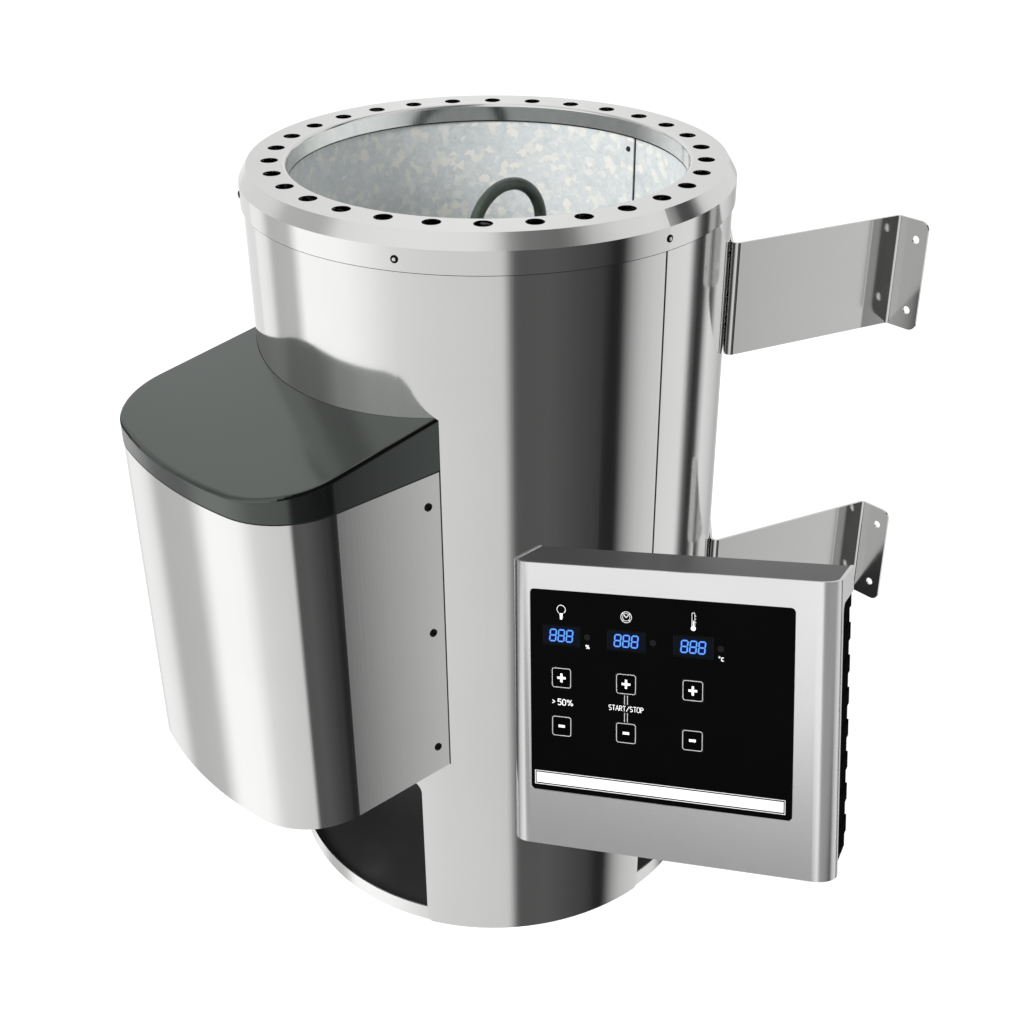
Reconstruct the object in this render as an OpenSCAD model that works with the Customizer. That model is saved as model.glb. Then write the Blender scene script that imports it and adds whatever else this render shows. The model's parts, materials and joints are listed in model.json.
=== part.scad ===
// Round sauna stove for wall fixing, with a terminal box in front and a control unit
// on a bracket. The axis of the round casing is Z, the floor is z = 0, the terminal box
// points to -Y and the wall stands behind the stove at +Y.

/* [Casing] */
// Outside diameter of the round casing
shell_d = 310; // [290:1:340]
// Height from the floor to the top of the ring
stove_h = 514; // [490:1:560]
// Thickness of the casing sheets
shell_t = 1; // [0.8:0.1:1.5]
// Width of the open seam between the front and the back sheet
seam_w = 1; // [0.6:0.1:1.6]
// Height of the air opening above the floor
vent_h = 129; // [110:1:135]
// Half angle of the air opening in the front sheet
vent_a = 30; // [24:1:34]
// Corner radius at the top of the air opening
vent_r = 11; // [5:1:16]
// Chamfer at the foot corners of the front sheet
foot_chamfer = 3; // [1:0.5:5]
// Width of the strips that join the two sheets from inside
seam_strip_w = 24; // [18:1:32]

/* [Top ring] */
// Thickness of the ring sheet
ring_t = 1.2; // [1:0.1:1.5]
// Width of the slanted edge of the ring
ring_cone_w = 5.2; // [4:0.1:6.5]
// Height of the slanted edge of the ring
ring_cone_h = 9; // [7:0.5:11]
// Height of the ring from its top to the lower edge of its skirt
ring_skirt_h = 22.9; // [20:0.1:28]
// Height of the lip that reaches down into the drum
ring_lip_h = 11.6; // [9:0.1:16]
// Outside radius of the bend between lip and flat
ring_bend_r = 2.2; // [2:0.1:3.5]
// Number of warm air holes
air_hole_n = 30; // [24:1:32]
// Diameter of the warm air holes
air_hole_d = 11; // [8:0.5:12]
// Distance from the lip to the circle of the air holes
air_hole_inset = 10.3; // [9.5:0.1:11.5]
// Number of screws round the skirt
ring_screw_n = 6; // [3:1:8]

/* [Stone drum] */
// Air gap between the drum and the casing
air_gap = 24.8; // [22:0.2:28]
// Thickness of the drum sheet
drum_t = 1; // [0.8:0.1:1.4]
// Height of the drum's bottom above the air opening
drum_lift = 21; // [16:1:30]
// Width of the drum's inward bottom flange
drum_flange_w = 10; // [9:0.5:14]
// Step of the lapped seam in the drum
drum_lap = 0.8; // [0.5:0.1:1]
// Angle of the drum seam
drum_seam_a = 87.6; // [60:0.1:120]
// Diameter of the rivet in the drum seam
drum_rivet_d = 3; // [2.6:0.1:5]
// Thickness of the grate's rim
grate_rim_t = 3; // [2:0.5:4]
// Height of the grate's rim
grate_rim_h = 10; // [8:1:14]
// Diameter of the grate's rods
grate_rod_d = 6; // [5:0.5:7]
// Distance between the grate's rods
grate_pitch = 19; // [15:1:26]
// Number of brackets that carry the drum
support_n = 3; // [3:1:3]
// Width of each drum bracket
support_w = 30; // [20:1:36]
// Height of the flanges of each drum bracket
support_flange_h = 16; // [12:1:22]

/* [Base] */
// Height of the base ring
base_h = 12; // [9:0.5:18]
// Thickness of the base ring
base_t = 1; // [0.8:0.1:1.5]
// Thickness of the base plate
base_plate_t = 4; // [2:0.5:6]

/* [Heating elements] */
// Diameter of the heating tube
tube_d = 8.2; // [7:0.1:8.5]
// Half width of each hairpin, at the tube's middle
hairpin_r = 29.2; // [24:0.1:32]
// Distance of the hairpins behind the stove's axis
hairpin_y = 15.7; // [10:0.1:20]
// Depth of the middle hairpin's top below the ring
hairpin_drop = 23.2; // [18:0.1:30]
// Further depth of the two outer hairpins
side_drop = 52; // [40:1:70]
// Distance between neighbouring hairpins
hairpin_pitch = 62; // [56:1:64]
// Radius of the bend from the upright legs to the cold ends
elbow_r = 20; // [16:1:24]
// Height of the cold ends above the bottom of the terminal box
cold_end_lift = 97; // [90:1:105]
// Distance between the upper and the lower cold end
cold_end_gap = 34; // [30:1:38]
// Width across the flats of the threaded bushings
bushing_af = 19; // [17:1:22]
// Length of the bushings in front of the mounting plate
bushing_l = 9; // [7:1:12]

/* [Terminal box] */
// Width of the terminal box
box_w = 189.4; // [180:0.2:196]
// Reach of the terminal box in front of the casing
box_reach = 94.5; // [86:0.5:105]
// Radius of the two front corners
box_corner_r = 48; // [40:1:60]
// Radius of the terminal box's gently bowed front
box_bow_r = 270; // [180:5:400]
// Height of the box's lower edge above the floor
box_z = 148; // [142:1:160]
// Height of the steel cover
box_h = 221; // [210:1:232]
// Thickness of the steel cover and its plates
box_t = 1.2; // [1:0.1:1.5]
// Height of the hood's front edge
hood_front_h = 12.5; // [10:0.5:18]
// Slope of the hood's top in degrees
hood_slope = 9.65; // [6:0.05:12]
// Wall of the hood
hood_t = 2.6; // [2:0.1:3.5]
// Radius of the hood's upper edge
hood_edge_r = 2.5; // [1.5:0.5:5]
// Depth of the tongue that centres the hood in the cover
hood_tongue_h = 8; // [5:1:12]
// Distance between the screws on each side of the cover
box_screw_pitch = 90; // [70:1:95]
// Distance of the side screws in front of the casing
box_screw_inset = 9.3; // [8:0.1:14]

/* [Terminals] */
// Number of poles of the terminal block
pole_n = 5; // [3:1:6]
// Width of each pole
pole_w = 13; // [11:0.5:14]
// Bore of the cable gland
gland_bore = 12; // [9:0.5:14]
// Diameter of the cable gland's thread
gland_d = 20; // [18:1:24]
// Diameter of the reset pin of the overheat cut-out
reset_d = 5; // [4:0.2:6]
// Travel of the reset pin
reset_travel = 2; // [1:0.5:2.5]

/* [Wall brackets] */
// Thickness of the bracket sheet
bracket_t = 1.5; // [1.2:0.1:2.5]
// Height of each bracket
bracket_h = 77; // [64:1:90]
// Depth of the upper brackets' top below the ring
bracket_drop = 50; // [40:1:70]
// Height of the lower brackets above the air opening
bracket_lift = 38; // [20:1:60]
// Distance from the casing to the wall
wall_gap = 67.75; // [50:0.25:90]
// Direction of the brackets' fixing flanges on the casing
attach_a = 44; // [40:1:50]
// Width of the fixing flange on the casing
attach_w = 25; // [22:1:30]
// Splay of the arms away from the middle plane
arm_splay = 16.4; // [10:0.2:24]
// Bend radius at the middle of the sheet
bracket_bend_r = 3.25; // [2.5:0.25:4.5]
// Width of the wall flange
wall_flange_w = 23.5; // [20:0.5:32]
// Corner radius of the wall flange
wall_corner_r = 6; // [3:0.5:8]
// Diameter of the wall holes
wall_hole_d = 5.5; // [4.5:0.1:7]
// Distance of the wall holes from the flange's outer edge
wall_hole_inset = 8.5; // [7:0.5:11]
// Distance between the two holes of a bracket
wall_hole_pitch = 50; // [40:1:54]

/* [Control unit] */
// Width of the control unit
unit_w = 186; // [180:1:205]
// Height of the control unit
unit_h = 164.7; // [152:0.1:175]
// Depth of the upper side arms of the silver cover
unit_arm_d = 50; // [47:1:56]
// Height of the upper side arms
unit_arm_h = 14; // [11:1:18]
// Depth of the silver cover below its side arms
unit_side_d = 13.4; // [13:0.2:18]
// Depth from the front face to the back of the black box
unit_box_d = 42; // [38:1:45]
// Radius of the cover's upright edges
unit_edge_r = 12; // [8:0.5:12.5]
// Wall of the silver cover
unit_t = 2; // [1.5:0.1:2.4]
// Wall of the black box
unit_box_t = 2.5; // [2:0.1:3]
// Height between the lower edges of the cover and the black box
unit_box_lift = 5.7; // [4:0.1:8]
// Distance between the ribs of the black box
rib_pitch = 18.4; // [14:0.2:22]
// Height of the ribs
rib_d = 0.8; // [0.4:0.1:1.2]
// Direction that the control unit faces
unit_a = -64.4; // [-70:0.1:-45]
// Tilt of the control unit's face
unit_tilt = 19.1; // [10:0.1:30]
// Turn of the control unit on its back plate
unit_roll = 8; // [0:0.5:12]
// Direction of the control unit's nearest corner from the stove's axis
unit_corner_a = -31.2; // [-38:0.1:-28]
// Gap between that corner and the casing
unit_gap = 7.7; // [4:0.1:14]
// Height of that corner above the floor
unit_corner_z = 321.9; // [300:0.1:335]

/* [Control panel] */
// Width of the silver margin to the left of the panel
panel_left = 13.2; // [13:0.1:16]
// Width of the silver margin to the right of the panel
panel_right = 23; // [14:0.1:28]
// Height of the silver margin above the panel
panel_above = 15; // [12:0.1:18]
// Height of the silver margin below the panel
panel_below = 32.4; // [26:0.1:36]
// Corner radius of the panel
panel_r = 2.5; // [1:0.1:4]
// Depth of the panel's face in the cover
panel_sink = 0.4; // [0.2:0.1:0.8]
// Distance of the first column of keys from the panel's left edge
column_x = 18.6; // [17:0.1:22]
// Distance between the columns
column_pitch = 38; // [36:0.1:42]
// Distance of the displays from the panel's top edge
display_y = 25.8; // [22:0.1:28]
// Width of a display window
display_w = 22; // [18:0.5:24]
// Height of a display window
display_h = 11.8; // [9:0.1:13]
// Distance of the upper keys from the panel's top edge
key_y = 50.3; // [46:0.1:53]
// Distance between the upper and the lower keys
key_pitch = 28.2; // [24:0.1:30]
// Width and height of a key
key_w = 12; // [10:0.1:13]
// Corner radius of a key
key_r = 1.2; // [0.5:0.1:2]
// Travel of a key
key_travel = 0.5; // [0.3:0.1:0.5]

/* [Control unit bracket] */
// Direction of the bracket's arm from the stove's axis
console_a = -23; // [-26:0.5:-20]
// Height of the bracket's arm above the floor
console_z = 237; // [228:1:245]
// Diameter of the bracket's arm
console_arm_d = 24; // [18:1:28]
// Wall of the bracket's arm
console_arm_t = 2; // [1.5:0.1:3]
// Height of the saddle on the casing
saddle_h = 60; // [50:1:70]
// Half angle of the saddle on the casing
saddle_a = 8; // [7:0.5:8.5]
// Thickness of saddle and back plate
console_t = 2; // [1.5:0.1:3]
// Width of the back plate behind the control unit
console_plate_w = 66; // [56:1:76]
// Height of the back plate behind the control unit
console_plate_h = 70; // [60:1:80]

/* [Clearances] */
// Gap between pieces that seat on each other
seat = 0.2; // [0.1:0.05:0.3]
// Gap between the ring's skirt and the casing
ring_fit = 0.5; // [0.3:0.1:0.8]
// Gap between the ring's lip and the drum
lip_fit = 0.3; // [0.2:0.1:0.6]
// Gap round the keys
key_gap = 0.15; // [0.1:0.05:0.3]
// Gap round the reset pin
pin_gap = 0.2; // [0.15:0.05:0.3]
// Gap round fixed parts that fit in openings
part_gap = 0.25; // [0.15:0.05:0.4]

/* [Hidden] */

steel = [0.80, 0.80, 0.79];
dark_steel = [0.30, 0.31, 0.30];
zinc = [0.72, 0.74, 0.75];
hood_green = [0.30, 0.33, 0.31];
tube_green = [0.25, 0.29, 0.27];
silver = [0.78, 0.78, 0.78];
black = [0.07, 0.07, 0.07];
glass_blue = [0.10, 0.15, 0.22];
board_green = [0.10, 0.33, 0.18];
brass = [0.75, 0.62, 0.32];
porcelain = [0.90, 0.88, 0.82];

round_fn = 180;
small_fn = 48;
corner_steps = 16;
bow_steps = 8;
bend_steps = 14;
eps = 0.01;
over = 5;

shell_r = shell_d / 2;
shell_in = shell_r - shell_t;
shell_top = stove_h - ring_cone_h - 3;
skirt_r = shell_r + ring_fit + ring_t;
flat_r = skirt_r - ring_cone_w;
cone_a = atan2(ring_cone_h, ring_cone_w);
ring_screw_z = stove_h - (ring_cone_h + ring_skirt_h) / 2;

drum_out = shell_in - air_gap;
drum_in = drum_out - drum_t;
drum_z = vent_h + drum_lift;
drum_top = stove_h - 5;
lip_out = drum_in - lip_fit;
lip_in = lip_out - ring_t;
air_hole_r = lip_in + air_hole_inset;

grate_r = drum_in - drum_flange_w / 2;
grate_z = drum_z + drum_t + seat + grate_rim_h / 2;
support_z = drum_z + 24;
sag_out = shell_in - sqrt(pow(shell_in, 2) - pow(support_w / 2, 2));

tube_hi = box_z + cold_end_lift + cold_end_gap / 2;
tube_lo = box_z + cold_end_lift - cold_end_gap / 2;
hairpin_top = stove_h - hairpin_drop;
tube_end = shell_r + 40;
stud_d = 4;
stud_l = 12;

plate_gap = 1.8;
chassis_back = shell_r + plate_gap;
chassis_front = chassis_back + box_t;
chassis_x = box_w / 2 - box_t - part_gap;
box_front = shell_r + box_reach;
box_top = box_z + box_h;
box_back_y = -shell_r * 0.7;
corner_x = box_w / 2 - box_corner_r;
bow_y = box_bow_r - box_front;
bow_a = asin(corner_x / (box_bow_r - box_corner_r));
corner_y = bow_y - (box_bow_r - box_corner_r) * cos(bow_a);
tangent_over = 0.002;
floor_z = box_z + 1;
floor_top = floor_z + box_t;
hood_proud = 0.4;
box_screw_y = sqrt(pow(shell_r, 2) - pow(box_w / 2, 2)) + box_screw_inset;
box_screw_z = box_top - 21.5;
box_screw_l = 6;
chassis_screw_l = 14;
bracket_screw_l = 9;
floor_edge_h = 9;
small_screw_d = 3.5;
small_head_d = 5.2;
small_head_h = 1.4;
ring_head_d = 4.6;
ring_head_h = 0.7;

block_z = box_top - 55;
block_h = 24;
block_depth = 26;
block_w = pole_n * pole_w + 6;
cutout_x = 52;
cutout_y = -(shell_r + 42);
cutout_w = 34;
cutout_h = 27;
neck_d = reset_d + 2 * pin_gap + 4;
neck_l = 8;
reset_reach = 5;
gland_x = -46;
gland_y = -(shell_r + 42);
sensor_d = 2;
sensor_bulb_d = 6;
sensor_x = cutout_x + 10;
sensor_z = tube_lo - 16;

wall_y = shell_r + wall_gap;
arm_dir = 90 - arm_splay;
attach_mid = shell_r + seat + bracket_t / 2;
attach_half = attach_w / 2;
bend1 = [
  (attach_mid + bracket_bend_r) * cos(attach_a) + attach_half * sin(attach_a),
  (attach_mid + bracket_bend_r) * sin(attach_a) - attach_half * cos(attach_a)
];
arm0 = bend1 + bracket_bend_r * [sin(arm_dir), -cos(arm_dir)];
flange_y = wall_y - bracket_t / 2;
bend2_y = flange_y - bracket_bend_r;
arm_l = (bend2_y - arm0[1] + bracket_bend_r * cos(arm_dir)) / sin(arm_dir);
bend2 = [arm0[0] + bracket_bend_r * sin(arm_dir) + arm_l * cos(arm_dir), bend2_y];
wall_flange_x = arm0[0] + (flange_y - arm0[1]) / tan(arm_dir) + wall_flange_w;
wall_hole_x = wall_flange_x - wall_hole_inset;
upper_z = stove_h - bracket_drop - bracket_h;
lower_z = vent_h + bracket_lift;
attach_screw_pitch = bracket_h - 27;

unit_level = [cos(unit_a + 90), sin(unit_a + 90), 0];
unit_rise = [-cos(unit_a) * sin(unit_tilt), -sin(unit_a) * sin(unit_tilt), cos(unit_tilt)];
unit_u = cos(unit_roll) * unit_level + sin(unit_roll) * unit_rise;
unit_v = cos(unit_roll) * unit_rise - sin(unit_roll) * unit_level;
unit_n = [cos(unit_a) * cos(unit_tilt), sin(unit_a) * cos(unit_tilt), sin(unit_tilt)];
unit_corner = [
  (shell_r + unit_gap) * cos(unit_corner_a),
  (shell_r + unit_gap) * sin(unit_corner_a),
  unit_corner_z
];
unit_c = unit_corner + unit_w / 2 * unit_u - unit_h / 2 * unit_v + unit_arm_d * unit_n;
unit_plate_t = 2;
unit_plate_sink = 0.4;
unit_inner_w = unit_w - 2 * unit_t;
side_cut_r = 6;
unit_box_gap = 0.4;
box_low = -unit_h / 2 + unit_box_lift;
rib_top = unit_h / 2 - unit_arm_h - unit_box_gap;
box_high = unit_h / 2 - unit_plate_sink - unit_plate_t - seat;
rib_n = floor((rib_top - box_low) / rib_pitch);

panel_w = unit_w - panel_left - panel_right;
panel_h = unit_h - panel_above - panel_below;
panel_dx = (panel_left - panel_right) / 2;
panel_dy = (panel_below - panel_above) / 2;
panel_x0 = panel_dx - panel_w / 2;
panel_y1 = panel_dy + panel_h / 2;
panel_lap = panel_left - unit_edge_r;
panel_step = unit_t + seat / 2;
panel_back = panel_step + 1.9;
key_flange = 1;
key_back = panel_back + 0.3;
key_flange_t = 0.8;
key_stem_d = 5;
switch_w = 6;
board_t = 1.6;
board_z = panel_back + 7;
switch_top = 3.4;
key_stem_end = board_z - switch_top - key_travel - 0.2;
board_w = panel_w - 8;
board_h = panel_h - 10;
post_d = 6;
post_x = board_w / 2 - 6;
post_y = board_h / 2 - 6;
module_back = panel_back + 0.2;

console_dir = [cos(console_a), sin(console_a), 0];
console_hit = ((unit_c - [0, 0, console_z]) * unit_n - unit_box_d - seat)
  / (console_dir * unit_n);
console_p = console_hit * console_dir + [0, 0, console_z] - unit_c;
console_x = console_p * unit_u;
console_y = console_p * unit_v;
console_screw_x = console_plate_w / 2 - 8;
console_screw_y = console_plate_h / 2 - 8;
saddle_screw_a = saddle_a - 2;
saddle_screw_z = saddle_h / 2 - 7;

// Outline with two rounded front corners, its front on the x axis
module d_outline(w, d, r) {
  translate([-w / 2, r]) square([w, d - r]);
  translate([-w / 2 + r, 0]) square([w - 2 * r, r + eps]);
  for (s = [-1, 1]) translate([s * (w / 2 - r), r]) circle(r, $fn = round_fn);
}

// Rectangle about the origin with four rounded corners
module soft_rect(w, h, r) {
  square([w, h - 2 * r], center = true);
  square([w - 2 * r, h], center = true);
  for (x = [-1, 1], y = [-1, 1])
    translate([x * (w / 2 - r), y * (h / 2 - r)]) circle(r, $fn = small_fn);
}

// Sheet bent round the stove's axis
module curved_sheet(r_in, t, z0, h, a0, a1) {
  translate([0, 0, z0]) rotate([0, 0, a0])
    rotate_extrude(angle = a1 - a0, $fn = round_fn) translate([r_in, 0]) square([t, h]);
}

// Places a piece on a radius, with its own z axis pointing away from the stove's axis
module radial(a, r, z) {
  rotate([0, 0, a]) translate([r, 0, z]) rotate([0, 90, 0]) children();
}

// Places a piece with its own z axis pointing to the front
module forward(x, y, z) {
  translate([x, y, z]) rotate([90, 0, 0]) children();
}

// Places a piece in the control unit: x to the right, y up the face, z out of it
module on_unit() {
  translate(unit_c) rotate([90 - unit_tilt, 0, unit_a + 90]) rotate([0, 0, unit_roll])
    children();
}

// Button head screw, its head above z = 0 and its shank below
module screw(d, l, head_d, head_h) {
  difference() {
    union() {
      translate([0, 0, -l]) cylinder(h = l + eps, d = d, $fn = small_fn);
      cylinder(h = head_h * 0.45, d = head_d, $fn = small_fn);
      translate([0, 0, head_h * 0.45])
        cylinder(h = head_h * 0.55, d1 = head_d, d2 = head_d * 0.66, $fn = small_fn);
    }
    translate([0, 0, head_h * 0.35]) cylinder(h = head_h, d = head_d * 0.42, $fn = 6);
  }
}

// Hexagon nut with a bore
module hex_nut(af, bore, h) {
  difference() {
    cylinder(h = h, d = af / cos(30), $fn = 6);
    translate([0, 0, -1]) cylinder(h = h + 2, d = bore, $fn = small_fn);
  }
}

// Profile of the pressed top ring
module ring_profile() {
  x1 = lip_in + ring_bend_r;
  y1 = stove_h - ring_bend_r;
  steps = 10;
  polygon(concat(
    [[lip_in, stove_h - ring_lip_h]],
    [for (k = [0 : steps]) let(a = 180 - 90 * k / steps)
      [x1 + ring_bend_r * cos(a), y1 + ring_bend_r * sin(a)]],
    [
      [flat_r, stove_h],
      [skirt_r, stove_h - ring_cone_h],
      [skirt_r, stove_h - ring_skirt_h],
      [skirt_r - ring_t, stove_h - ring_skirt_h],
      [skirt_r - ring_t, stove_h - ring_cone_h - ring_t * tan((90 - cone_a) / 2)],
      [flat_r - ring_t * tan(cone_a / 2), stove_h - ring_t]
    ],
    [for (k = [0 : steps]) let(a = 90 + 90 * k / steps, r = ring_bend_r - ring_t)
      [x1 + r * cos(a), y1 + r * sin(a)]],
    [[lip_in + ring_t, stove_h - ring_lip_h]]));
}

module ring_screw_places() {
  for (i = [0 : ring_screw_n - 1])
    radial(-90 + 180 / ring_screw_n + i * 360 / ring_screw_n, skirt_r, ring_screw_z)
      children();
}

module top_ring() {
  color(steel) difference() {
    rotate_extrude($fn = round_fn) ring_profile();
    for (i = [0 : air_hole_n - 1])
      rotate([0, 0, -90 + i * 360 / air_hole_n]) translate([air_hole_r, 0, stove_h - over])
        cylinder(h = 2 * over, d = air_hole_d, $fn = small_fn);
    ring_screw_places() translate([0, 0, -over])
      cylinder(h = 2 * over, d = small_screw_d + 0.4, $fn = small_fn);
  }
}

module ring_screws() {
  color(dark_steel) ring_screw_places() screw(small_screw_d, 7, ring_head_d, ring_head_h);
}

// Window with rounded upper corners, cut towards the front
module front_window(half_w, z0, z1, r, y_near) {
  translate([0, y_near, 0]) rotate([90, 0, 0]) linear_extrude(shell_r) {
    translate([-half_w, z0]) square([2 * half_w, z1 - z0 - r]);
    translate([-half_w + r, z0]) square([2 * half_w - 2 * r, z1 - z0]);
    for (s = [-1, 1]) translate([s * (half_w - r), z1 - r]) circle(r, $fn = small_fn);
  }
}

module outer_shell_front() {
  gap_a = seam_w / 2 / shell_r * 180 / PI;
  half_vent = shell_r * sin(vent_a);
  color(steel) difference() {
    curved_sheet(shell_in, shell_t, 0, shell_top, 180 + gap_a, 360 - gap_a);
    front_window(half_vent, -over, vent_h, vent_r, -shell_r / 2);
    for (s = [-1, 1]) {
      translate([s * (half_vent - seam_w / 2), -shell_r, 0]) rotate([0, 45, 0])
        cube([foot_chamfer * sqrt(2), shell_r, foot_chamfer * sqrt(2)], center = true);
      translate([s * shell_r, 0, 0]) rotate([45, 0, 0])
        cube([shell_r, foot_chamfer * sqrt(2), foot_chamfer * sqrt(2)], center = true);
    }
    shell_window();
    chassis_screw_places() translate([0, 0, -30])
      cylinder(h = 40, d = small_screw_d + 0.4, $fn = small_fn);
    saddle_screw_places() translate([0, 0, -over])
      cylinder(h = 2 * over, d = small_screw_d + 0.4, $fn = small_fn);
    radial(console_a, shell_r, console_z) translate([0, 0, -over])
      cylinder(h = 2 * over, d = console_arm_d - 2 * console_arm_t, $fn = small_fn);
    ring_screw_places() translate([0, 0, -over - 2])
      cylinder(h = 2 * over, d = small_screw_d + 0.4, $fn = small_fn);
  }
}

// Opening in the front sheet behind the terminal box, where the cold ends pass
module shell_window() {
  w = hairpin_pitch + 14;
  translate([0, -shell_r + 60, (tube_hi + tube_lo) / 2]) rotate([90, 0, 0])
    linear_extrude(70) soft_rect(2 * w, cold_end_gap + 44, 5);
}

module outer_shell_back() {
  gap_a = seam_w / 2 / shell_r * 180 / PI;
  color(steel) difference() {
    curved_sheet(shell_in, shell_t, vent_h, shell_top - vent_h, gap_a, 180 - gap_a);
    bracket_screw_places() translate([0, 0, -over])
      cylinder(h = 2 * over, d = small_screw_d + 0.6, $fn = small_fn);
    ring_screw_places() translate([0, 0, -over - 2])
      cylinder(h = 2 * over, d = small_screw_d + 0.4, $fn = small_fn);
  }
}

// Two strips behind the seams that join the front and the back sheet
module seam_strips() {
  half_a = seam_strip_w / 2 / shell_in * 180 / PI;
  color(steel) for (s = [0, 180])
    curved_sheet(shell_in - seat - shell_t, shell_t, vent_h + 4,
      ring_screw_z - 12 - vent_h, s - half_a, s + half_a);
}

module inner_drum() {
  slot_w = tube_d + 8;
  color(zinc) difference() {
    union() {
      curved_sheet(drum_in, drum_t, drum_z, drum_top - drum_z, 0, 360);
      curved_sheet(drum_in - drum_flange_w, drum_flange_w + eps, drum_z, drum_t, 0, 360);
      drum_lap_sheet();
    }
    for (x = [-1, 0, 1])
      translate([x * hairpin_pitch, -drum_in * 0.7, (tube_hi + tube_lo) / 2])
        rotate([90, 0, 0]) linear_extrude(drum_in * 0.5)
          soft_rect(slot_w, cold_end_gap + slot_w, slot_w / 2 - eps);
    drum_rivet_place() translate([0, 0, -over])
      cylinder(h = 2 * over, d = drum_rivet_d, $fn = small_fn);
  }
}

// Inner side of the lapped seam: the sheet end stands in by the lap and runs out smoothly
module drum_lap_sheet() {
  intersection() {
    translate([0, 0, drum_z + 15]) difference() {
      cylinder(h = stove_h - ring_lip_h - seat - drum_z - 15, r = drum_in + eps,
        $fn = round_fn);
      translate([-drum_lap * cos(drum_seam_a), -drum_lap * sin(drum_seam_a), -1])
        cylinder(h = drum_top, r = drum_in, $fn = round_fn);
    }
    rotate([0, 0, drum_seam_a]) translate([0, 0, drum_z])
      cube([drum_out + over, drum_out + over, stove_h]);
  }
}

module drum_rivet_place() {
  radial(drum_seam_a + 2.3, drum_in - drum_lap, drum_top - 16) rotate([180, 0, 0]) children();
}

module drum_rivet() {
  color(black) drum_rivet_place() {
    translate([0, 0, -drum_t - drum_lap]) cylinder(h = drum_t + drum_lap + seat,
      d = drum_rivet_d - 0.3, $fn = small_fn);
    translate([0, 0, seat / 2]) cylinder(h = 0.8, d1 = drum_rivet_d + 1,
      d2 = drum_rivet_d, $fn = small_fn);
  }
}

module stone_grate() {
  reach = grate_r - grate_rod_d;
  rods = floor(reach / grate_pitch);
  z0 = grate_z - grate_rim_h / 2;
  color(steel) union() {
    translate([0, 0, z0]) difference() {
      cylinder(h = grate_rim_h, r = grate_r + grate_rim_t / 2, $fn = round_fn);
      translate([0, 0, -1])
        cylinder(h = grate_rim_h + 2, r = grate_r - grate_rim_t / 2, $fn = round_fn);
    }
    intersection() {
      for (i = [-rods : rods])
        translate([-grate_r - 10, i * grate_pitch, grate_z]) rotate([0, 90, 0])
          cylinder(h = 2 * grate_r + 20, d = grate_rod_d, $fn = small_fn);
      translate([0, 0, z0 - 5]) cylinder(h = grate_rim_h + 10, r = grate_r, $fn = round_fn);
    }
  }
}

// Sheet brackets between the drum and the casing
module drum_brackets() {
  t = 1.5;
  r0 = drum_out + seat;
  r1 = shell_in - sag_out - seat;
  color(zinc) for (i = [0 : support_n - 1]) rotate([0, 0, 90 + i * 360 / support_n])
    translate([0, support_w / 2, support_z]) rotate([90, 0, 0])
      linear_extrude(support_w) polygon([
        [r0, 0], [r1 - t, 0], [r1 - t, -support_flange_h], [r1, -support_flange_h],
        [r1, t], [r0 + t, t], [r0 + t, support_flange_h], [r0, support_flange_h]
      ]);
}

module base_ring() {
  color(steel) curved_sheet(shell_in - seat - base_t, base_t, 0, base_h, 0, 360);
}

module base_plate() {
  color([0.12, 0.12, 0.12])
    cylinder(h = base_plate_t, r = shell_in - seat - base_t - seat, $fn = round_fn);
}

// Straight and bent runs of the heating tube in the plane of one hairpin
module tube_y(x, y0, y1, z, d) {
  translate([x, y0, z]) rotate([-90, 0, 0]) cylinder(h = y1 - y0, d = d, $fn = small_fn);
}

module tube_z(x, y, z0, z1) {
  translate([x, y, z0]) cylinder(h = z1 - z0, d = tube_d, $fn = small_fn);
}

module tube_bend(x, y, z, r, a0, a1) {
  translate([x, y, z]) rotate([90, 0, 90]) rotate([0, 0, a0])
    rotate_extrude(angle = a1 - a0, $fn = round_fn) translate([r, 0])
      circle(d = tube_d, $fn = small_fn);
}

module heating_element(x, top_z) {
  ya = hairpin_y - hairpin_r;
  yb = hairpin_y + hairpin_r;
  color(tube_green) union() {
    tube_bend(x, hairpin_y, top_z - hairpin_r, hairpin_r, 0, 180);
    for (leg = [[ya, tube_hi], [yb, tube_lo]]) {
      tube_z(x, leg[0], leg[1] + elbow_r, top_z - hairpin_r);
      tube_bend(x, leg[0] - elbow_r, leg[1] + elbow_r, elbow_r, -90, 0);
      tube_y(x, -tube_end, leg[0] - elbow_r, leg[1], tube_d);
      tube_y(x, -tube_end - stud_l, -tube_end + 1, leg[1], stud_d);
    }
  }
}

module heating_element_left() { heating_element(-hairpin_pitch, hairpin_top - side_drop); }
module heating_element_middle() { heating_element(0, hairpin_top); }
module heating_element_right() { heating_element(hairpin_pitch, hairpin_top - side_drop); }

module cold_end_places() {
  for (x = [-1, 0, 1], z = [tube_hi, tube_lo]) forward(x * hairpin_pitch, 0, z) children();
}

// Threaded bushings that hold the cold ends in the mounting plate
module element_bushings() {
  thread_d = tube_d + 5;
  color(brass) cold_end_places() difference() {
    union() {
      translate([0, 0, chassis_front]) cylinder(h = bushing_l, d = thread_d, $fn = small_fn);
      translate([0, 0, chassis_front + 0.05]) cylinder(h = 4, d = bushing_af / cos(30), $fn = 6);
      translate([0, 0, chassis_back - 1.2])
        cylinder(h = box_t + 1.3, d = thread_d, $fn = small_fn);
    }
    translate([0, 0, chassis_back - over])
      cylinder(h = bushing_l + 2 * over, d = tube_d + 2 * 0.1, $fn = small_fn);
  }
}

module element_nuts() {
  color(steel) cold_end_places() translate([0, 0, tube_end + 5])
    hex_nut(7, stud_d + 0.1, 3.2);
}

module chassis_screw_places() {
  for (x = [-36, 36], z = [box_z + 28, box_top - 20]) forward(x, -chassis_front, z) children();
}

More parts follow.
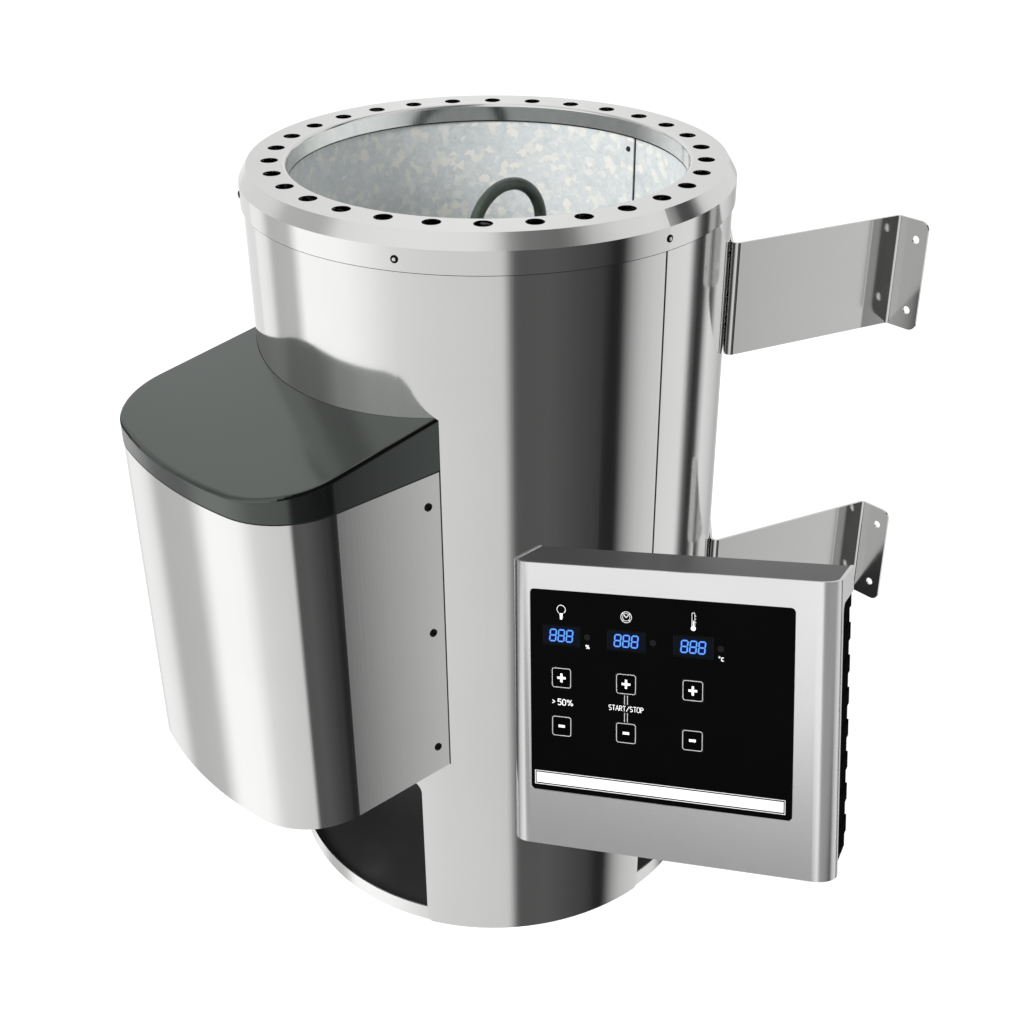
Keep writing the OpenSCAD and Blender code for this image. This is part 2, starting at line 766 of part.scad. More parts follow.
// Outline of the terminal box from above, moved in by the inset and open to the casing:
// flat sides, round corners and a bowed front
module box_outline(inset, back_y) {
  far = 2 * box_bow_r;
  intersection() {
    translate([0, bow_y]) circle(box_bow_r - inset, $fn = round_fn);
    polygon([
      [5 * tan(bow_a) - corner_x, corner_y + 5],
      [-far * sin(bow_a), bow_y - far * cos(bow_a)],
      [far * sin(bow_a), bow_y - far * cos(bow_a)],
      [corner_x - 5 * tan(bow_a), corner_y + 5]
    ]);
  }
  for (s = [-1, 1]) translate([s * corner_x, corner_y])
    circle(box_corner_r - inset + tangent_over, $fn = round_fn);
  translate([inset - box_w / 2, corner_y]) square([box_w - 2 * inset, back_y - corner_y]);
}

// The same outline as points, for the hood's loft
function box_points(inset, back_y) = let(r = box_corner_r - inset, big = box_bow_r - inset)
  concat(
    [[inset - box_w / 2, back_y]],
    [for (k = [0 : corner_steps]) let(b = 180 + (90 - bow_a) * k / corner_steps)
      [-corner_x + r * cos(b), corner_y + r * sin(b)]],
    [for (k = [1 : bow_steps - 1]) let(b = 270 - bow_a + 2 * bow_a * k / bow_steps)
      [big * cos(b), bow_y + big * sin(b)]],
    [for (k = [0 : corner_steps]) let(b = 270 + bow_a + (90 - bow_a) * k / corner_steps)
      [corner_x + r * cos(b), corner_y + r * sin(b)]],
    [[box_w / 2 - inset, back_y]]);

module box_screw_places() {
  for (s = [-1, 1], i = [0 : 2])
    translate([s * box_w / 2, -box_screw_y, box_screw_z - i * box_screw_pitch])
      rotate([0, s * 90, 0]) children();
}

// Mounting plate with two side flanges that reach back to the casing
module box_chassis() {
  z0 = floor_top + seat;
  h = box_top - hood_tongue_h - 2 - z0;
  color(zinc) difference() {
    union() {
      translate([-chassis_x, -chassis_front, z0]) cube([2 * chassis_x, box_t, h]);
      for (s = [-1, 1])
        translate([s * (chassis_x - box_t / 2) - box_t / 2, -chassis_front, z0])
          cube([box_t, chassis_front - 100, h]);
    }
    cylinder(h = stove_h, r = shell_r + seat, $fn = round_fn);
    cold_end_places() translate([0, 0, chassis_back - over])
      cylinder(h = 2 * over + box_t, d = tube_d + 5.2, $fn = small_fn);
    forward(sensor_x, -chassis_front - over, sensor_z)
      translate([0, 0, -2 * over - box_t]) cylinder(h = 4 * over, d = sensor_bulb_d + 0.6,
        $fn = small_fn);
    chassis_screw_places() translate([0, 0, -over])
      cylinder(h = 2 * over, d = small_screw_d + 0.4, $fn = small_fn);
    box_screw_places() translate([0, 0, -over])
      cylinder(h = 2 * over, d = small_screw_d + 0.4, $fn = small_fn);
  }
}

module chassis_screws() {
  color(steel) chassis_screw_places() screw(small_screw_d, chassis_screw_l, 7, 2.2);
}

// Floor of the terminal box with an upturned edge, holes for gland and reset neck
module box_floor() {
  gap = box_t + part_gap;
  color(zinc) difference() {
    translate([0, 0, floor_z]) linear_extrude(floor_edge_h)
      box_outline(gap, box_back_y);
    translate([0, 0, floor_top]) linear_extrude(20)
      box_outline(gap + box_t, box_back_y + 1);
    translate([-box_w, -chassis_front - 1, floor_top]) cube([2 * box_w, shell_r, 20]);
    cylinder(h = stove_h, r = shell_r + seat, $fn = round_fn);
    translate([gland_x, gland_y, 0]) cylinder(h = stove_h, d = gland_d + 0.4, $fn = small_fn);
    translate([cutout_x, cutout_y, 0]) cylinder(h = stove_h, d = neck_d + 0.4, $fn = small_fn);
  }
}

module box_cover() {
  color(steel) difference() {
    translate([0, 0, box_z]) linear_extrude(box_h) box_outline(0, box_back_y);
    translate([0, 0, box_z - 1]) linear_extrude(box_h + 2)
      box_outline(box_t, box_back_y + 1);
    cylinder(h = stove_h, r = shell_r + seat, $fn = round_fn);
    box_screw_places() translate([0, 0, -over])
      cylinder(h = 2 * over, d = small_screw_d + 0.4, $fn = small_fn);
  }
}

// Points of the hood's outline, moved in by the inset, at a height on the sloping plane
function hood_ring(inset, z, slope) =
  [for (p = box_points(inset - hood_proud, -20)) [p[0], p[1], z + slope * (p[1] + box_front)]];

// Solid lofted through the outlines from below the box's top to the sloping plane
module hood_form(inset, edge_r, lower) {
  slope = tan(hood_slope);
  top = box_top + hood_front_h - lower;
  rings = concat(
    [hood_ring(inset, box_top - 20 * sign(lower), 0)],
    [for (a = [0 : 15 : 90])
      hood_ring(inset + edge_r * (1 - cos(a)), top - edge_r * (1 - sin(a)), slope)]);
  n = len(rings[0]);
  m = len(rings);
  polyhedron(
    points = [for (ring = rings) for (p = ring) p],
    faces = concat(
      [[for (i = [0 : n - 1]) i]],
      [for (j = [0 : m - 2], i = [0 : n - 1], f = [0, 1])
        let(k = (i + 1) % n, b = j * n, c = b + n)
          f == 0 ? [b + i, c + k, b + k] : [b + i, c + i, c + k]],
      [[for (i = [0 : n - 1]) m * n - 1 - i]]));
}

module box_hood() {
  tongue = box_t + part_gap;
  color(hood_green) difference() {
    union() {
      difference() {
        hood_form(0, hood_edge_r, 0);
        hood_form(hood_t, max(hood_edge_r - hood_t / 2, 0.3), hood_t);
      }
      translate([0, 0, box_top - hood_tongue_h])
        linear_extrude(hood_tongue_h + hood_t)
          difference() {
            box_outline(tongue, box_back_y);
            box_outline(tongue + hood_t - 0.8, box_back_y + 1);
          }
    }
    cylinder(h = 2 * stove_h, r = shell_r + seat, $fn = round_fn);
  }
}

module box_screws() {
  color(black) box_screw_places()
    screw(small_screw_d, box_screw_l, small_head_d, small_head_h);
}

// Porcelain terminal block on the mounting plate
module terminal_block() {
  color(porcelain) forward(-10, -chassis_front - seat, block_z) difference() {
    translate([-block_w / 2, 0, 0]) cube([block_w, block_h, block_depth]);
    for (i = [0 : pole_n - 1]) translate([(i - (pole_n - 1) / 2) * pole_w, 0, 0]) {
      translate([0, block_h / 2, block_depth - 9]) cylinder(h = 10, d = 6.5, $fn = small_fn);
      translate([0, -1, block_depth - 14]) rotate([-90, 0, 0])
        cylinder(h = block_h + 2, d = 5, $fn = small_fn);
    }
    for (s = [-1, 1]) translate([s * (block_w / 2), block_h / 2, -1])
      cylinder(h = block_depth + 2, d = 4.5, $fn = small_fn);
  }
}

module terminal_screws() {
  color(brass) forward(-10, -chassis_front - seat, block_z)
    for (i = [0 : pole_n - 1])
      translate([(i - (pole_n - 1) / 2) * pole_w, block_h / 2, block_depth - 8.8])
        cylinder(h = 6, d = 5.6, $fn = small_fn);
}

// Overheat cut-out on the floor of the terminal box, its neck through the floor
module overheat_cutout() {
  color(black) translate([cutout_x, cutout_y, 0]) difference() {
    union() {
      translate([-cutout_w / 2, -cutout_w / 2, floor_top + seat / 2])
        cube([cutout_w, cutout_w, cutout_h]);
      translate([0, 0, floor_z - neck_l]) cylinder(h = neck_l + box_t + 1, d = neck_d,
        $fn = small_fn);
    }
    translate([0, 0, floor_z - neck_l - 1])
      cylinder(h = neck_l + 15, d = reset_d + 2 * pin_gap, $fn = small_fn);
  }
}

module cutout_nut() {
  color(steel) translate([cutout_x, cutout_y, floor_z - seat / 2 - 3])
    hex_nut(neck_d + 4, neck_d + 0.1, 3);
}

module reset_pin() {
  color([0.75, 0.10, 0.08]) translate([cutout_x, cutout_y, floor_z - neck_l - reset_reach])
    cylinder(h = reset_reach + neck_l + 10 - reset_travel, d = reset_d, $fn = small_fn);
}

// Capillary from the cut-out to the sensor bulb in the air gap beside the drum
module cutout_sensor() {
  d = sensor_d;
  r = 5 * sensor_d;
  x = sensor_x;
  y = cutout_y + 8;
  z0 = floor_top + cutout_h + seat;
  z1 = sensor_z;
  bulb_y = -(shell_r - 26);
  color([0.72, 0.42, 0.25]) union() {
    translate([x, y, z0]) cylinder(h = z1 - r - z0, d = d, $fn = small_fn);
    translate([x, y + r, z1 - r]) rotate([90, 0, 90]) rotate([0, 0, 90])
      rotate_extrude(angle = 90, $fn = small_fn) translate([r, 0])
        circle(d = d, $fn = small_fn);
    translate([x, y + r, z1]) rotate([-90, 0, 0])
      cylinder(h = bulb_y - y - r - 8, d = d, $fn = small_fn);
    translate([x, bulb_y - 10, z1]) rotate([-90, 0, 0])
      cylinder(h = 14, d = sensor_bulb_d, $fn = small_fn);
  }
}

// Cable gland under the box: thread, hexagon and domed cap round a through bore
module cable_gland() {
  color(black) translate([gland_x, gland_y, 0]) difference() {
    union() {
      translate([0, 0, floor_z - 1]) cylinder(h = 9, d = gland_d, $fn = small_fn);
      translate([0, 0, floor_z - seat / 2 - 5])
        cylinder(h = 5, d = (gland_d + 5) / cos(30), $fn = 6);
      translate([0, 0, floor_z - 14]) cylinder(h = 10, d = gland_d + 3, $fn = small_fn);
      translate([0, 0, floor_z - 19])
        cylinder(h = 5, d1 = gland_d - 3, d2 = gland_d + 3, $fn = small_fn);
    }
    translate([0, 0, floor_z - 30]) cylinder(h = 60, d = gland_bore, $fn = small_fn);
  }
}

module gland_locknut() {
  color(black) translate([gland_x, gland_y, floor_top + seat / 2])
    hex_nut(gland_d + 5, gland_d + 0.1, 4);
}

// Middle line of a wall bracket as [point, left normal] pairs, from its casing flange
bracket_line = concat(
  [[
    attach_mid * [cos(attach_a), sin(attach_a)]
      + attach_half * [-sin(attach_a), cos(attach_a)],
    [cos(attach_a), sin(attach_a)]
  ]],
  [for (k = [0 : bend_steps])
    let(a = attach_a + 180 + (180 - attach_a - arm_splay) * k / bend_steps,
      d = [cos(a), sin(a)])
    [bend1 + bracket_bend_r * d, -d]],
  [for (k = [0 : bend_steps])
    let(a = arm_dir + 90 - arm_dir * k / bend_steps, d = [cos(a), sin(a)])
    [bend2 + bracket_bend_r * d, d]],
  [[[wall_flange_x, flange_y], [0, 1]]]
);

// One wall bracket on the +X side: flange on the casing, bend, arm, bend, wall flange
module wall_bracket(z0) {
  half = bracket_t / 2;
  n = len(bracket_line);
  color(steel) translate([0, 0, z0]) difference() {
    linear_extrude(bracket_h) polygon(concat(
      [for (p = bracket_line) p[0] + half * p[1]],
      [for (k = [1 : n]) bracket_line[n - k][0] - half * bracket_line[n - k][1]]));
    for (s = [0, 1]) translate([wall_flange_x, 0, s * bracket_h]) mirror([0, 0, s])
      translate([-wall_corner_r, flange_y - over, 0]) difference() {
        translate([0, 0, -1]) cube([wall_corner_r + 1, 2 * over, wall_corner_r + 1]);
        translate([0, -1, wall_corner_r]) rotate([-90, 0, 0])
          cylinder(h = 2 * over + 2, r = wall_corner_r, $fn = small_fn);
      }
    for (s = [-1, 1]) {
      translate([wall_hole_x, flange_y + over, bracket_h / 2 + s * wall_hole_pitch / 2])
        rotate([90, 0, 0]) cylinder(h = 2 * over, d = wall_hole_d, $fn = small_fn);
      radial(attach_a, shell_r, bracket_h / 2 + s * attach_screw_pitch / 2)
        translate([0, 0, -over]) cylinder(h = 2 * over, d = small_screw_d + 0.4,
          $fn = small_fn);
    }
  }
}

module bracket_upper_right() { wall_bracket(upper_z); }
module bracket_upper_left() { mirror([1, 0, 0]) wall_bracket(upper_z); }
module bracket_lower_right() { wall_bracket(lower_z); }
module bracket_lower_left() { mirror([1, 0, 0]) wall_bracket(lower_z); }

module bracket_screw_places() {
  for (a = [attach_a, 180 - attach_a], z = [upper_z, lower_z], s = [-1, 1])
    radial(a, shell_r, z + bracket_h / 2 + s * attach_screw_pitch / 2) children();
}

module bracket_screws() {
  color(steel) bracket_screw_places() translate([0, 0, seat + bracket_t])
    screw(small_screw_d, bracket_screw_l, 7, 2);
}

module bracket_nuts() {
  color(steel) bracket_screw_places() translate([0, 0, -shell_t - 0.3 - 2.8])
    hex_nut(6.5, small_screw_d + 0.1, 2.8);
}

module saddle_screw_places() {
  for (s = [-1, 1], k = [-1, 1])
    radial(console_a + s * saddle_screw_a, shell_r + seat + console_t,
      console_z + k * saddle_screw_z) children();
}

module console_plate_places() {
  for (x = [-1, 1], y = [-1, 1])
    translate([console_x + x * console_screw_x, console_y + y * console_screw_y,
      -unit_box_d - seat - console_t]) rotate([180, 0, 0]) children();
}

// Bracket of the control unit: saddle on the casing, hollow arm and back plate
module console_bracket() {
  plate_z = -unit_box_d - seat - console_t;
  color(dark_steel) difference() {
    union() {
      curved_sheet(shell_r + seat, console_t, console_z - saddle_h / 2, saddle_h,
        console_a - saddle_a, console_a + saddle_a);
      difference() {
        radial(console_a, shell_r + seat + console_t / 2, console_z)
          cylinder(h = console_hit - shell_r + 30, d = console_arm_d, $fn = small_fn);
        on_unit() translate([-unit_w, -unit_h, plate_z + console_t / 2])
          cube([2 * unit_w, 2 * unit_h, 200]);
      }
      on_unit() translate([console_x - console_plate_w / 2,
        console_y - console_plate_h / 2, plate_z])
          cube([console_plate_w, console_plate_h, console_t]);
    }
    radial(console_a, shell_r - over, console_z)
      cylinder(h = console_hit - shell_r + 60, d = console_arm_d - 2 * console_arm_t,
        $fn = small_fn);
    saddle_screw_places() translate([0, 0, -over])
      cylinder(h = 2 * over, d = small_screw_d + 0.4, $fn = small_fn);
    on_unit() console_plate_places() translate([0, 0, -over])
      cylinder(h = 2 * over, d = small_screw_d + 0.4, $fn = small_fn);
  }
}

module console_screws() {
  color(steel) {
    saddle_screw_places() screw(small_screw_d, 7, 7, 2);
    on_unit() console_plate_places() screw(small_screw_d, 6, 7, 2);
  }
}

// Extrudes an outline seen from above the control unit along its height
module up_unit(y0, y1) {
  translate([0, y1, 0]) rotate([90, 0, 0]) linear_extrude(y1 - y0) mirror([0, 1]) children();
}

// Side view of the space below the cover's arms, behind its shallow sides
module side_space(gap, low) {
  y1 = unit_h / 2 - unit_arm_h;
  r = side_cut_r;
  translate([low, -unit_arm_d - 1])
    square([y1 - gap - low, unit_arm_d + 1 - unit_side_d - r]);
  translate([low, -unit_arm_d - 1])
    square([y1 - r - low, unit_arm_d + 1 - unit_side_d - gap]);
  translate([y1 - r, -unit_side_d - r]) circle(r - gap, $fn = small_fn);
}

module unit_side_cut() {
  translate([-unit_w / 2 - 1, 0, 0]) rotate([90, 0, 90]) linear_extrude(unit_w + 2)
    side_space(0, -unit_h);
}

module unit_cover() {
  color(silver) on_unit() difference() {
    up_unit(-unit_h / 2, unit_h / 2) d_outline(unit_w, unit_arm_d, unit_edge_r);
    up_unit(-unit_h / 2 + unit_t, unit_h / 2 + 1)
      translate([0, unit_t]) d_outline(unit_inner_w, unit_arm_d, unit_edge_r - unit_t);
    unit_side_cut();
    translate([panel_dx, panel_dy, -over]) linear_extrude(2 * over)
      soft_rect(panel_w + 2 * part_gap, panel_h + 2 * part_gap, panel_r + part_gap);
  }
}

module unit_top_plate() {
  gap = unit_t + part_gap;
  y1 = unit_h / 2 - unit_plate_sink;
  color(dark_steel) on_unit() up_unit(y1 - unit_plate_t, y1)
    translate([0, gap]) d_outline(unit_w - 2 * gap, unit_arm_d - gap - 0.5,
      unit_edge_r - gap);
}

// Black back box: a tray inside the cover and a ribbed body flush with its sides
module unit_back_box() {
  inner_w = unit_inner_w - 2 * part_gap;
  front = -board_z - 3;
  color(black) on_unit() difference() {
    union() {
      translate([-inner_w / 2, box_low, -unit_box_d])
        cube([inner_w, box_high - box_low, unit_box_d + front]);
      translate([-unit_w / 2, 0, 0]) rotate([90, 0, 90]) linear_extrude(unit_w)
        intersection() {
          side_space(unit_box_gap, box_low);
          translate([-unit_h, -unit_box_d]) square([2 * unit_h, unit_box_d]);
        }
    }
    difference() {
      translate([-inner_w / 2 + unit_box_t, box_low + unit_box_t, -unit_box_d + unit_box_t])
        cube([inner_w - 2 * unit_box_t, box_high - box_low - 2 * unit_box_t, unit_box_d]);
      for (x = [-1, 1], y = [-1, 1])
        translate([panel_dx + x * post_x, panel_dy + y * post_y, -unit_box_d])
          cylinder(h = unit_box_d - board_z - board_t - seat / 2, d = post_d,
            $fn = small_fn);
    }
    for (i = [0 : rib_n], s = [-1, 1])
      translate([s * unit_w / 2, box_low + (i + 0.25) * rib_pitch, -unit_box_d / 2])
        cube([2 * rib_d, rib_pitch / 2, 2 * unit_box_d], center = true);
    console_plate_places() translate([0, 0, -over])
      cylinder(h = 2 * over, d = small_screw_d + 0.4, $fn = small_fn);
  }
}

module at_column(i, dy) {
  translate([panel_x0 + column_x + i * column_pitch, panel_y1 - dy, 0]) children();
}

module unit_panel() {
  hole = key_w + 2 * key_gap;
  color(black) on_unit() difference() {
    union() {
      translate([panel_dx, panel_dy, -panel_step - eps])
        linear_extrude(panel_step - panel_sink + eps) soft_rect(panel_w, panel_h, panel_r);
      translate([panel_dx, panel_dy, -panel_back]) linear_extrude(panel_back - panel_step)
        soft_rect(panel_w + 2 * panel_lap, panel_h + 2 * panel_lap, panel_r);
    }
    for (i = [0 : 2]) {
      for (dy = [key_y, key_y + key_pitch]) at_column(i, dy) translate([0, 0, -2 * over])
        linear_extrude(4 * over) soft_rect(hole, hole, key_r + key_gap);
      at_column(i, display_y) translate([-display_w / 2 - 0.1, -display_h / 2 - 0.1, -10])
        cube([display_w + 0.2, display_h + 0.2, 20]);
    }
  }
}

module display_windows() {
  color(glass_blue) on_unit() for (i = [0 : 2]) at_column(i, display_y)
    translate([-display_w / 2, -display_h / 2, -panel_back])
      cube([display_w, display_h, panel_back - panel_sink]);
}

module display_modules() {
  color(black) on_unit() for (i = [0 : 2]) at_column(i, display_y)
    translate([-display_w / 2, -display_h / 2, -board_z + 0.1])
      cube([display_w, display_h, board_z - 0.1 - module_back]);
}

module circuit_board() {
  color(board_green) on_unit() difference() {
    translate([panel_dx - board_w / 2, panel_dy - board_h / 2, -board_z - board_t])
      cube([board_w, board_h, board_t]);
    for (x = [-1, 1], y = [-1, 1])
      translate([panel_dx + x * post_x, panel_dy + y * post_y, -board_z - over])
        cylinder(h = 2 * over, d = 3, $fn = small_fn);
  }
}

module board_spacers() {
  color(steel) on_unit() for (x = [-1, 1], y = [-1, 1])
    translate([panel_dx + x * post_x, panel_dy + y * post_y, -board_z + 0.1])
      cylinder(h = board_z - panel_back - 0.2, d = post_d, $fn = small_fn);
}

module key_switches() {
  color(silver) on_unit() for (i = [0 : 2], dy = [key_y, key_y + key_pitch]) at_column(i, dy) {
    translate([-switch_w / 2, -switch_w / 2, -board_z + 0.1])
      cube([switch_w, switch_w, switch_top - 1]);
    translate([0, 0, -board_z + 0.1]) cylinder(h = switch_top - 0.1, d = 3.5, $fn = small_fn);
  }
}

// Flush key: cap in the panel, flange behind it and a stem above its switch
module key(i, dy) {
  color(black) on_unit() at_column(i, dy) union() {
    translate([0, 0, -key_back]) linear_extrude(key_back - panel_sink)
      soft_rect(key_w, key_w, key_r);
    translate([0, 0, -key_back - key_flange_t]) linear_extrude(key_flange_t)
      soft_rect(key_w + 2 * key_flange, key_w + 2 * key_flange, key_r);
    translate([0, 0, -key_stem_end])
      cylinder(h = key_stem_end - key_back, d = key_stem_d, $fn = small_fn);
  }
}

module key_lamp_plus() { key(0, key_y); }
module key_lamp_minus() { key(0, key_y + key_pitch); }
module key_timer_plus() { key(1, key_y); }
module key_timer_minus() { key(1, key_y + key_pitch); }
module key_heat_plus() { key(2, key_y); }
module key_heat_minus() { key(2, key_y + key_pitch); }

top_ring();
ring_screws();
outer_shell_front();
outer_shell_back();
seam_strips();
inner_drum();
drum_rivet();
stone_grate();
drum_brackets();
base_ring();
base_plate();
heating_element_left();
heating_element_middle();
heating_element_right();
element_bushings();
element_nuts();
box_chassis();
chassis_screws();
box_floor();
box_cover();
box_hood();
box_screws();
terminal_block();
terminal_screws();
overheat_cutout();
cutout_sensor();
cutout_nut();
reset_pin();
cable_gland();
gland_locknut();
bracket_upper_right();
bracket_upper_left();
bracket_lower_right();
bracket_lower_left();
bracket_screws();
bracket_nuts();
console_bracket();
console_screws();
unit_cover();
unit_top_plate();
unit_back_box();
unit_panel();
display_windows();
display_modules();
circuit_board();
board_spacers();
key_switches();
key_lamp_plus();
key_lamp_minus();
key_timer_plus();
key_timer_minus();
key_heat_plus();
key_heat_minus();
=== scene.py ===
"""Round sauna stove with a terminal box, wall brackets and a tilted control unit."""
import json
import math

import bpy
from mathutils import Matrix, Vector


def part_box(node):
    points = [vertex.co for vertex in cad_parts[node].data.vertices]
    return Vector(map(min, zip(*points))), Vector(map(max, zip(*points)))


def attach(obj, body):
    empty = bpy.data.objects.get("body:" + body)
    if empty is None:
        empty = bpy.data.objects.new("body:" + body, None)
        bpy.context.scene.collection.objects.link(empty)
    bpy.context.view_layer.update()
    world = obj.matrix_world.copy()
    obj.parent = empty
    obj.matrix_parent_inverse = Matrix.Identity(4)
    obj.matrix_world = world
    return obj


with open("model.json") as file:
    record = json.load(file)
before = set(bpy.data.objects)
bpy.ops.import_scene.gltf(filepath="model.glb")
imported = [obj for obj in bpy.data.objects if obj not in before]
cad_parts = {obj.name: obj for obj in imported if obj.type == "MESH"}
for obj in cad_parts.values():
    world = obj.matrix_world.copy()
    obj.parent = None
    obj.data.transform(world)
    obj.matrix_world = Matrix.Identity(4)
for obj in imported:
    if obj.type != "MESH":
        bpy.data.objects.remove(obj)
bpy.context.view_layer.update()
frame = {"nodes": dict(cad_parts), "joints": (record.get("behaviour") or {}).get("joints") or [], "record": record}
NODES = frame["nodes"]
MM = 0.001

# ---- Shader sums written as Python ----


class Wire:
    """One output of a node tree; sums on it add the nodes that work them out."""

    def __init__(self, tree, socket):
        self.tree = tree
        self.socket = socket

    def math(self, operation, *values):
        return self.tree.node("ShaderNodeMath", dict(enumerate(values)), operation=operation)

    def __add__(self, other):
        return self.math("ADD", self, other)

    __radd__ = __add__

    def __sub__(self, other):
        return self.math("SUBTRACT", self, other)

    def __rsub__(self, other):
        return self.math("SUBTRACT", other, self)

    def __mul__(self, other):
        return self.math("MULTIPLY", self, other)

    __rmul__ = __mul__

    def __truediv__(self, other):
        return self.math("DIVIDE", self, other)

    def __abs__(self):
        return self.math("ABSOLUTE", self)

    def sign(self):
        return self.math("SIGN", self)

    def step(self, low, high):
        """0 below low, 1 above high and a soft rise between them."""
        return self.tree.node("ShaderNodeMapRange", {0: self, 1: low, 2: high},
                              interpolation_type="SMOOTHSTEP")

    def within(self, edges):
        """1 between the middle two of four edges, falling softly to 0 at the outer two."""
        return self.step(*edges[:2]) * (1 - self.step(*edges[2:]))


def grey(value):
    return (value, value, value, 1.0)


def colour(red, green, blue):
    return (red, green, blue, 1.0)


def shade(tone, share):
    """The same colour, so many times as bright."""
    return tuple(part * share for part in tone[:3]) + (1.0,)


class Tree:
    """Node tree of a finish or of the studio's light."""

    def __init__(self, owner):
        owner.use_nodes = True
        self.tree = owner.node_tree
        self.tree.nodes.clear()

    def node(self, kind, sockets=None, out=0, stops=(), **settings):
        """Any node: its settings and a ramp's stops are made first, then its sockets."""
        node = self.tree.nodes.new(kind)
        for name, value in settings.items():
            setattr(node, name, value)
        if stops:
            ramp = node.color_ramp.elements
            while len(ramp) < len(stops):
                ramp.new(1.0)
            for element, (place, tone) in zip(ramp, stops):
                element.position = place
                element.color = grey(tone)
        for name, value in (sockets or {}).items():
            if isinstance(value, Wire):
                self.tree.links.new(value.socket, node.inputs[name])
            else:
                node.inputs[name].default_value = value
        return Wire(self, node.outputs[out]) if len(node.outputs) else None

    def mix(self, factor, first, second):
        """Colour, or normal, between the first and the second."""
        return self.node("ShaderNodeMix", {0: factor, 6: first, 7: second}, out=2,
                         data_type="RGBA")

    def vector(self, operation, *values, out=0):
        """Vector Math; a length or a dot product comes out at Value."""
        return self.node("ShaderNodeVectorMath", dict(enumerate(values)), out,
                         operation=operation)


class Finish(Tree):
    """Finish of a piece, on its own place in metres."""

    UNLIT = grey(0.004)

    def __init__(self, name):
        self.material = bpy.data.materials.new(name)
        super().__init__(self.material)
        self.place = self.node("ShaderNodeTexCoord", out="Object")

    def noise(self, scale, detail=3.0, rough=0.6, out="Fac"):
        """Noise on the piece; three scales stretch it."""
        if isinstance(scale, tuple):
            place, scale = self.vector("MULTIPLY", self.place, scale), 1.0
        else:
            place = self.place
        return self.node("ShaderNodeTexNoise", {"Vector": place, "Scale": scale,
                                                "Detail": detail, "Roughness": rough}, out)

    def bump(self, height, depth, strength=0.5, normal=None):
        """Relief with a depth in millimetres, on the piece's normal or another one."""
        sockets = {"Height": height, "Distance": depth * MM, "Strength": strength}
        if normal:
            sockets["Normal"] = normal
        return self.node("ShaderNodeBump", sockets)

    def normal(self):
        return self.node("ShaderNodeNewGeometry", out="Normal")

    def bowed(self, angle, flat=None):
        """Normal of a sheet that is not quite flat: turned about the upright by an angle."""
        return self.node("ShaderNodeVectorRotate", {"Vector": flat or self.normal(),
                                                    "Angle": angle}, rotation_type="Z_AXIS")

    def along(self, axis, vector=None):
        """Place along an axis, or that part of another vector."""
        return self.node("ShaderNodeSeparateXYZ", {"Vector": vector or self.place}, axis)

    def facing(self, axis):
        """How far the surface faces along an axis, from -1 to 1."""
        return self.along(axis, self.normal())

    def level(self, vector):
        """The vector laid flat, without its height."""
        return self.vector("MULTIPLY", vector, (1.0, 1.0, 0.0))

    def from_axis(self):
        """Distance from the stove's axis."""
        return self.vector("LENGTH", self.level(self.place), out="Value")

    def done(self, unlit=None, **sockets):
        """Ends the tree in one shader; sockets are named as base_color or metallic."""
        values = {name.replace("_", " ").title().replace("Ior", "IOR"): value
                  for name, value in sockets.items()}
        shader = self.node("ShaderNodeBsdfPrincipled", values)
        # Where unlit is high, a black diffuse is painted over the finish: painted dark reflection
        if unlit:
            black = self.node("ShaderNodeBsdfDiffuse", {"Color": self.UNLIT})
            shader = self.node("ShaderNodeMixShader", {0: unlit, 1: shader, 2: black})
        self.node("ShaderNodeOutputMaterial", {"Surface": shader})
        return self.material


# ---- Places on the stove that finishes and pieces share, in metres ----

# Outline of the terminal box: a long bow at the front, then the round corners
BOX_LOW, BOX_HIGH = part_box("box_cover")
CORNER_R, BOW_R = 0.048, 0.270
CORNER_X = BOX_HIGH[0] - CORNER_R
BOW_Y = BOX_LOW[1] + BOW_R
BOW_SLOPE = CORNER_X / math.sqrt((BOW_R - CORNER_R) ** 2 - CORNER_X ** 2)
CORNER_Y = BOW_Y - math.sqrt((BOW_R - CORNER_R) ** 2 - CORNER_X ** 2)
# The box's flat side, from where its corner ends, and the front end of its bow
SIDE_X = (0.0938, 0.0947)
SIDE_FRONT = -0.205
# Last strip of a bracket's arm before its bend to the wall flange
WALL_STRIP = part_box("bracket_upper_right")[1][1] - 22.5 * MM
# Between the inner and outer side of the casing, and of the drum
CASING_SKIN = (0.1541, 0.1546)
DRUM_SKIN = (0.1283, 0.1287)


def core(node):
    """Middle of a node's box."""
    points = [v.co for v in NODES[node].data.vertices]
    return Vector([(min(p[k] for p in points) + max(p[k] for p in points)) / 2
                   for k in range(3)])


# Axes of the control unit's front
INWARD = Vector(next(j["axis"] for j in frame["joints"] if j["name"] == "key_lamp_plus_press"))
OUT = -INWARD.normalized()
KEY_ROW = core("key_heat_plus") - core("key_lamp_plus")
RIGHT = (KEY_ROW - OUT * KEY_ROW.dot(OUT)).normalized()
UP = OUT.cross(RIGHT)

# ---- Finishes ----

# Fineness of the rolling grain and of the handling marks, along x, y and z
ROLLED = (900.0, 900.0, 9.0)
HANDLED = (70.0, 70.0, 22.0)


